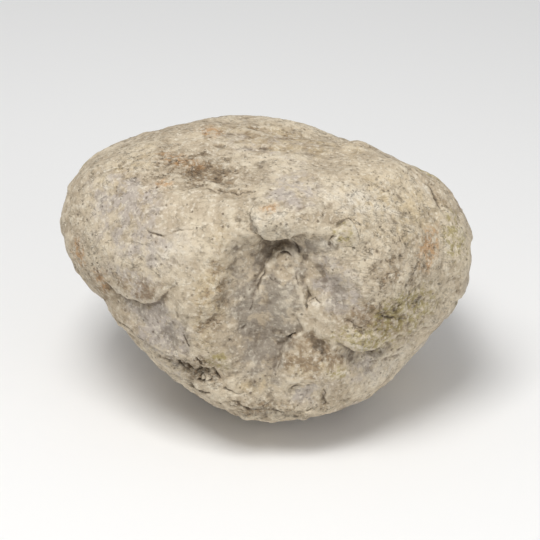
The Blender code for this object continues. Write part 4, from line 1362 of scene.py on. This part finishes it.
@dataclass
class RiverStone:
    """The stone: its mesh, its marks and its finish."""

    shape: StoneShape = field(default_factory=StoneShape)
    skin: PittedSkin = PittedSkin()
    finish: WeatheredQuartzite = WeatheredQuartzite()
    front_edge: float = 1.51
    far_edge: float = 2.15
    crack_edge: float = 0.57
    hollow_rounds: int = 5
    nook_shade_rounds: int = 45
    hollow_depth: float = 0.35
    nook_shade_depth: float = 1.6

    def build(self) -> bpy.types.Object:
        """Builds the stone.

        Returns:
            The finished object.
        """
        self.shape.fit_width()
        mesh = self._ball()
        surface = self.shape.surface(self._rays(mesh))
        placed = self.shape.placed(surface.points)
        mesh.vertices.foreach_set("co", placed.astype(np.float32).ravel())
        mesh.shade_smooth()
        for mark, values in self._marks(surface).items():
            self._store(mesh, mark, values)
        stone = bpy.data.objects.new("river_stone", mesh)
        bpy.context.scene.collection.objects.link(stone)
        self.skin.lay_on(stone, self.finish.material())
        self._cut_at_floor(stone.data)
        self._mark_hollows(stone.data)
        return stone

    def _rays(self, mesh: bpy.types.Mesh) -> np.ndarray:
        """Returns the unit ray from the heart to each point of a ball."""
        rays = np.empty(len(mesh.vertices) * 3, np.float32)
        mesh.vertices.foreach_get("co", rays)
        rays = rays.reshape(-1, 3).astype(float)
        return rays / np.linalg.norm(rays, axis=1)[:, None]

    def _ball(self) -> bpy.types.Mesh:
        """Makes a ball of triangles, small ones where the stone has most to show.

        Returns:
            The ball's mesh, with a radius of about one.
        """
        ball = bmesh.new()
        bmesh.ops.create_icosphere(ball, subdivisions=self.shape.solid_subdivisions, radius=1.0)
        for longest in ((self.front_edge, self.far_edge), (math.inf, math.inf)):
            rays = np.array([vert.co.normalized() for vert in ball.verts])
            surface = self.shape.surface(rays)
            thin = self._cracks(surface, 3.0)
            ends = np.array([[vert.index for vert in edge.verts] for edge in ball.edges])
            lengths = np.linalg.norm(surface.points[ends[:, 0]] - surface.points[ends[:, 1]], axis=1)
            facing = (surface.normals @ Side.FRONT.axes()[2])[ends].mean(axis=1)
            wanted = np.where(facing > 0.0, longest[0], longest[1])
            wanted = np.where(thin[ends].max(axis=1) > 0.12, self.crack_edge * 1.4, wanted)
            chosen = [edge for edge, long in zip(ball.edges, lengths > wanted) if long]
            bmesh.ops.subdivide_edges(ball, edges=chosen, cuts=1, use_grid_fill=True)
            several = [face for face in ball.faces if len(face.verts) > 3]
            bmesh.ops.triangulate(ball, faces=several)
            ball.verts.ensure_lookup_table()
            ball.verts.index_update()
        mesh = bpy.data.meshes.new("river_stone")
        ball.to_mesh(mesh)
        ball.free()
        return mesh

    def _cracks(self, surface: StoneSurface, widening: float = 1.0) -> np.ndarray:
        """Returns where cracks are, up to 1 in the deepest."""
        cover = np.zeros(len(surface.points))
        for crack in THIN_CRACKS:
            depth = min(1.0, 0.2 + 0.55 * crack.depth)
            cover = np.maximum(cover, depth * crack.cover(surface.views[crack.side], widening))
        return cover * surface.broken

    def _marks(self, surface: StoneSurface) -> dict[Mark, np.ndarray]:
        """Works out the marks of the surface.

        Args:
            surface: The stone's surface.

        Returns:
            The values of each mark, from 0 to 1.
        """
        clear = {mark: np.ones(len(surface.points)) for mark in Mark}
        for patch in PATCHES:
            clear[patch.mark] *= 1.0 - patch.strength * surface.views[patch.side].cover(patch)
        away = 1.0 - smooth_step(-0.05, 0.25, surface.normals @ Side.FRONT.axes()[2])
        for scatter in SCATTERS:
            cloud = smooth_step(scatter.low, scatter.high, scatter.grain.at(surface.points))
            clear[scatter.mark] *= 1.0 - scatter.strength * cloud * away
        marks = {mark: 1.0 - left for mark, left in clear.items()}
        marks[Mark.CRACK] = self._cracks(surface)
        marks[Mark.POLISHED] = np.clip(
            marks[Mark.POLISHED] + 0.7 * marks[Mark.LAVENDER] + 0.6 * marks[Mark.SLATE_AND_SHADE]
            - 0.7 * marks[Mark.PITTED], 0.0, 1.0
        )
        return marks

    def _store(self, mesh: bpy.types.Mesh, mark: Mark, values: np.ndarray) -> None:
        """Keeps a mark's values on the points of a mesh."""
        attribute = mesh.attributes.get(mark.value) or mesh.attributes.new(mark.value, "FLOAT", "POINT")
        attribute.data.foreach_set("value", values.astype(np.float32))

    def _cut_at_floor(self, mesh: bpy.types.Mesh) -> None:
        """Cuts the stone off level at the floor and closes the cut, its resting spot."""
        stone = bmesh.new()
        stone.from_mesh(mesh)
        everything = stone.verts[:] + stone.edges[:] + stone.faces[:]
        cut = bmesh.ops.bisect_plane(
            stone, geom=everything, plane_co=(0, 0, 0), plane_no=(0, 0, -1), clear_outer=True
        )
        rim = [part for part in cut["geom_cut"] if isinstance(part, bmesh.types.BMEdge)]
        for edge in rim:
            edge.smooth = False
        bmesh.ops.contextual_create(stone, geom=rim)
        spots = [face for face in stone.faces if len(face.verts) > 3]
        bmesh.ops.triangulate(stone, faces=spots)
        bmesh.ops.recalc_face_normals(stone, faces=stone.faces[:])
        stone.to_mesh(mesh)
        stone.free()

    def _mark_hollows(self, mesh: bpy.types.Mesh) -> None:
        """Marks small hollows, broad nooks where shade is painted, and ridges, from how far a smoothed skin lies off.

        Args:
            mesh: The stone's mesh.
        """
        count = len(mesh.vertices)
        ends = np.empty(len(mesh.edges) * 2, np.int64)
        mesh.edges.foreach_get("vertices", ends)
        near, far = ends.reshape(-1, 2).T
        here, there = np.concatenate([near, far]), np.concatenate([far, near])
        neighbours = np.bincount(here, minlength=count)
        points = np.empty(count * 3, np.float32)
        mesh.vertices.foreach_get("co", points)
        points = points.reshape(-1, 3).astype(float)
        normals = np.array([vertex.normal for vertex in mesh.vertices])
        smoothed = points.copy()
        depths = {}
        for turn in range(1, self.nook_shade_rounds + 1):
            sums = [np.bincount(here, smoothed[there, axis], count) for axis in range(3)]
            smoothed = np.stack(sums, axis=1) / neighbours[:, None]
            depths[turn] = ((smoothed - points) * normals).sum(axis=1) / MM
        small, broad = depths[self.hollow_rounds], depths[self.nook_shade_rounds]
        self._store(mesh, Mark.HOLLOW, np.clip(small / self.hollow_depth, 0.0, 1.0))
        self._store(mesh, Mark.RIDGE, np.clip(-small / self.hollow_depth, 0.0, 1.0))
        # The broad nooks get painted shade.
        self._store(mesh, Mark.NOOK_SHADE, np.clip(broad / self.nook_shade_depth, 0.0, 1.0))


@dataclass
class Studio:
    """A plain pale floor, soft light, and a camera that looks as the photograph does."""

    aim: tuple[float, float, float] = (0.0, 0.0, 0.066)
    elevation: float = 30.0
    distance: float = 1.0
    frame_width: float = 0.268
    sensor: float = 36.0
    floor_half: float = 6.0
    floor_colour: str = "#F4F3F1"
    sky_colour: str = "#F3F5F8"
    sky_strength: float = 0.45

    def build(self) -> None:
        """Builds the floor, the lights and the camera."""
        self._floor()
        self._sky()
        self._lamp("key", (-0.22, -0.44, 1.26), 0.55, 12.2)
        self._lamp("fill", (0.75, -0.75, 0.45), 0.60, 2.0)
        self._camera()

    def _floor(self) -> None:
        """Lays the floor, which isn't part of the object."""
        mesh = bpy.data.meshes.new("studio_floor")
        half = self.floor_half
        mesh.from_pydata([(-half, -half, 0), (half, -half, 0), (half, half, 0), (-half, half, 0)], [], [(0, 1, 2, 3)])
        floor = bpy.data.objects.new("studio_floor", mesh)
        bpy.context.scene.collection.objects.link(floor)
        # Matt white board: it shows as an even, nearly white ground.
        material = bpy.data.materials.new("matt_white_board")
        material.use_nodes = True
        shader = material.node_tree.nodes["Principled BSDF"]
        shader.inputs["Base Color"].default_value = linear_colour(self.floor_colour)
        shader.inputs["Roughness"].default_value = 0.9
        mesh.materials.append(material)

    def _sky(self) -> None:
        """Sets the even light that comes from all around."""
        world = bpy.data.worlds.new("studio_surround")
        world.use_nodes = True
        ground = world.node_tree.nodes["Background"]
        ground.inputs["Color"].default_value = linear_colour(self.sky_colour)
        ground.inputs["Strength"].default_value = self.sky_strength
        bpy.context.scene.world = world

    def _lamp(self, name: str, place: tuple[float, float, float], size: float, power: float) -> None:
        """Hangs one soft square lamp that faces the stone.

        Args:
            name: The lamp's name.
            place: Where it hangs, in metres.
            size: Its side, in metres.
            power: Its power in watts.
        """
        data = bpy.data.lights.new(name, "AREA")
        data.size = size
        data.energy = power
        lamp = bpy.data.objects.new(name, data)
        lamp.location = place
        lamp.rotation_euler = (Vector(self.aim) - Vector(place)).to_track_quat("-Z", "Y").to_euler()
        bpy.context.scene.collection.objects.link(lamp)

    def _camera(self) -> None:
        """Sets up the camera."""
        data = bpy.data.cameras.new("photograph_view")
        data.sensor_width = self.sensor
        data.lens = self.sensor * self.distance / self.frame_width
        camera = bpy.data.objects.new("photograph_view", data)
        towards = Vector(Side.FRONT.axes()[2])
        camera.location = Vector(self.aim) + towards * self.distance
        camera.rotation_euler = (-towards).to_track_quat("-Z", "Y").to_euler()
        bpy.context.scene.collection.objects.link(camera)
        bpy.context.scene.camera = camera


def departure(piece: bpy.types.Object, node: bpy.types.Object) -> tuple[float, float]:
    """Measures how far a piece lies from a node of the solid.

    Args:
        piece: The piece.
        node: The node.

    Returns:
        The mean and the greatest distance, in millimetres.
    """
    tree = BVHTree.FromPolygons(
        [vertex.co for vertex in node.data.vertices],
        [polygon.vertices for polygon in node.data.polygons],
    )
    gaps = [tree.find_nearest(vertex.co)[3] for vertex in piece.data.vertices]
    return float(np.mean(gaps)) / MM, float(np.max(gaps)) / MM


def main() -> None:
    """Builds the stone and the studio."""
    logging.basicConfig(level=logging.INFO, format="%(message)s")
    bpy.context.scene.view_settings.view_transform = "Standard"
    stone = RiverStone().build()
    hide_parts("rock")
    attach(stone, "root")
    mean, most = departure(stone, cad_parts["rock"])
    LOG.info("river_stone: %d triangles, off the solid by %.2f mm on average and %.2f mm at most",
             len(stone.data.polygons), mean, most)
    Studio().build()
    LOG.info("studio: floor, surround, key and fill lamps, camera")


if __name__ == "__main__":
    main()
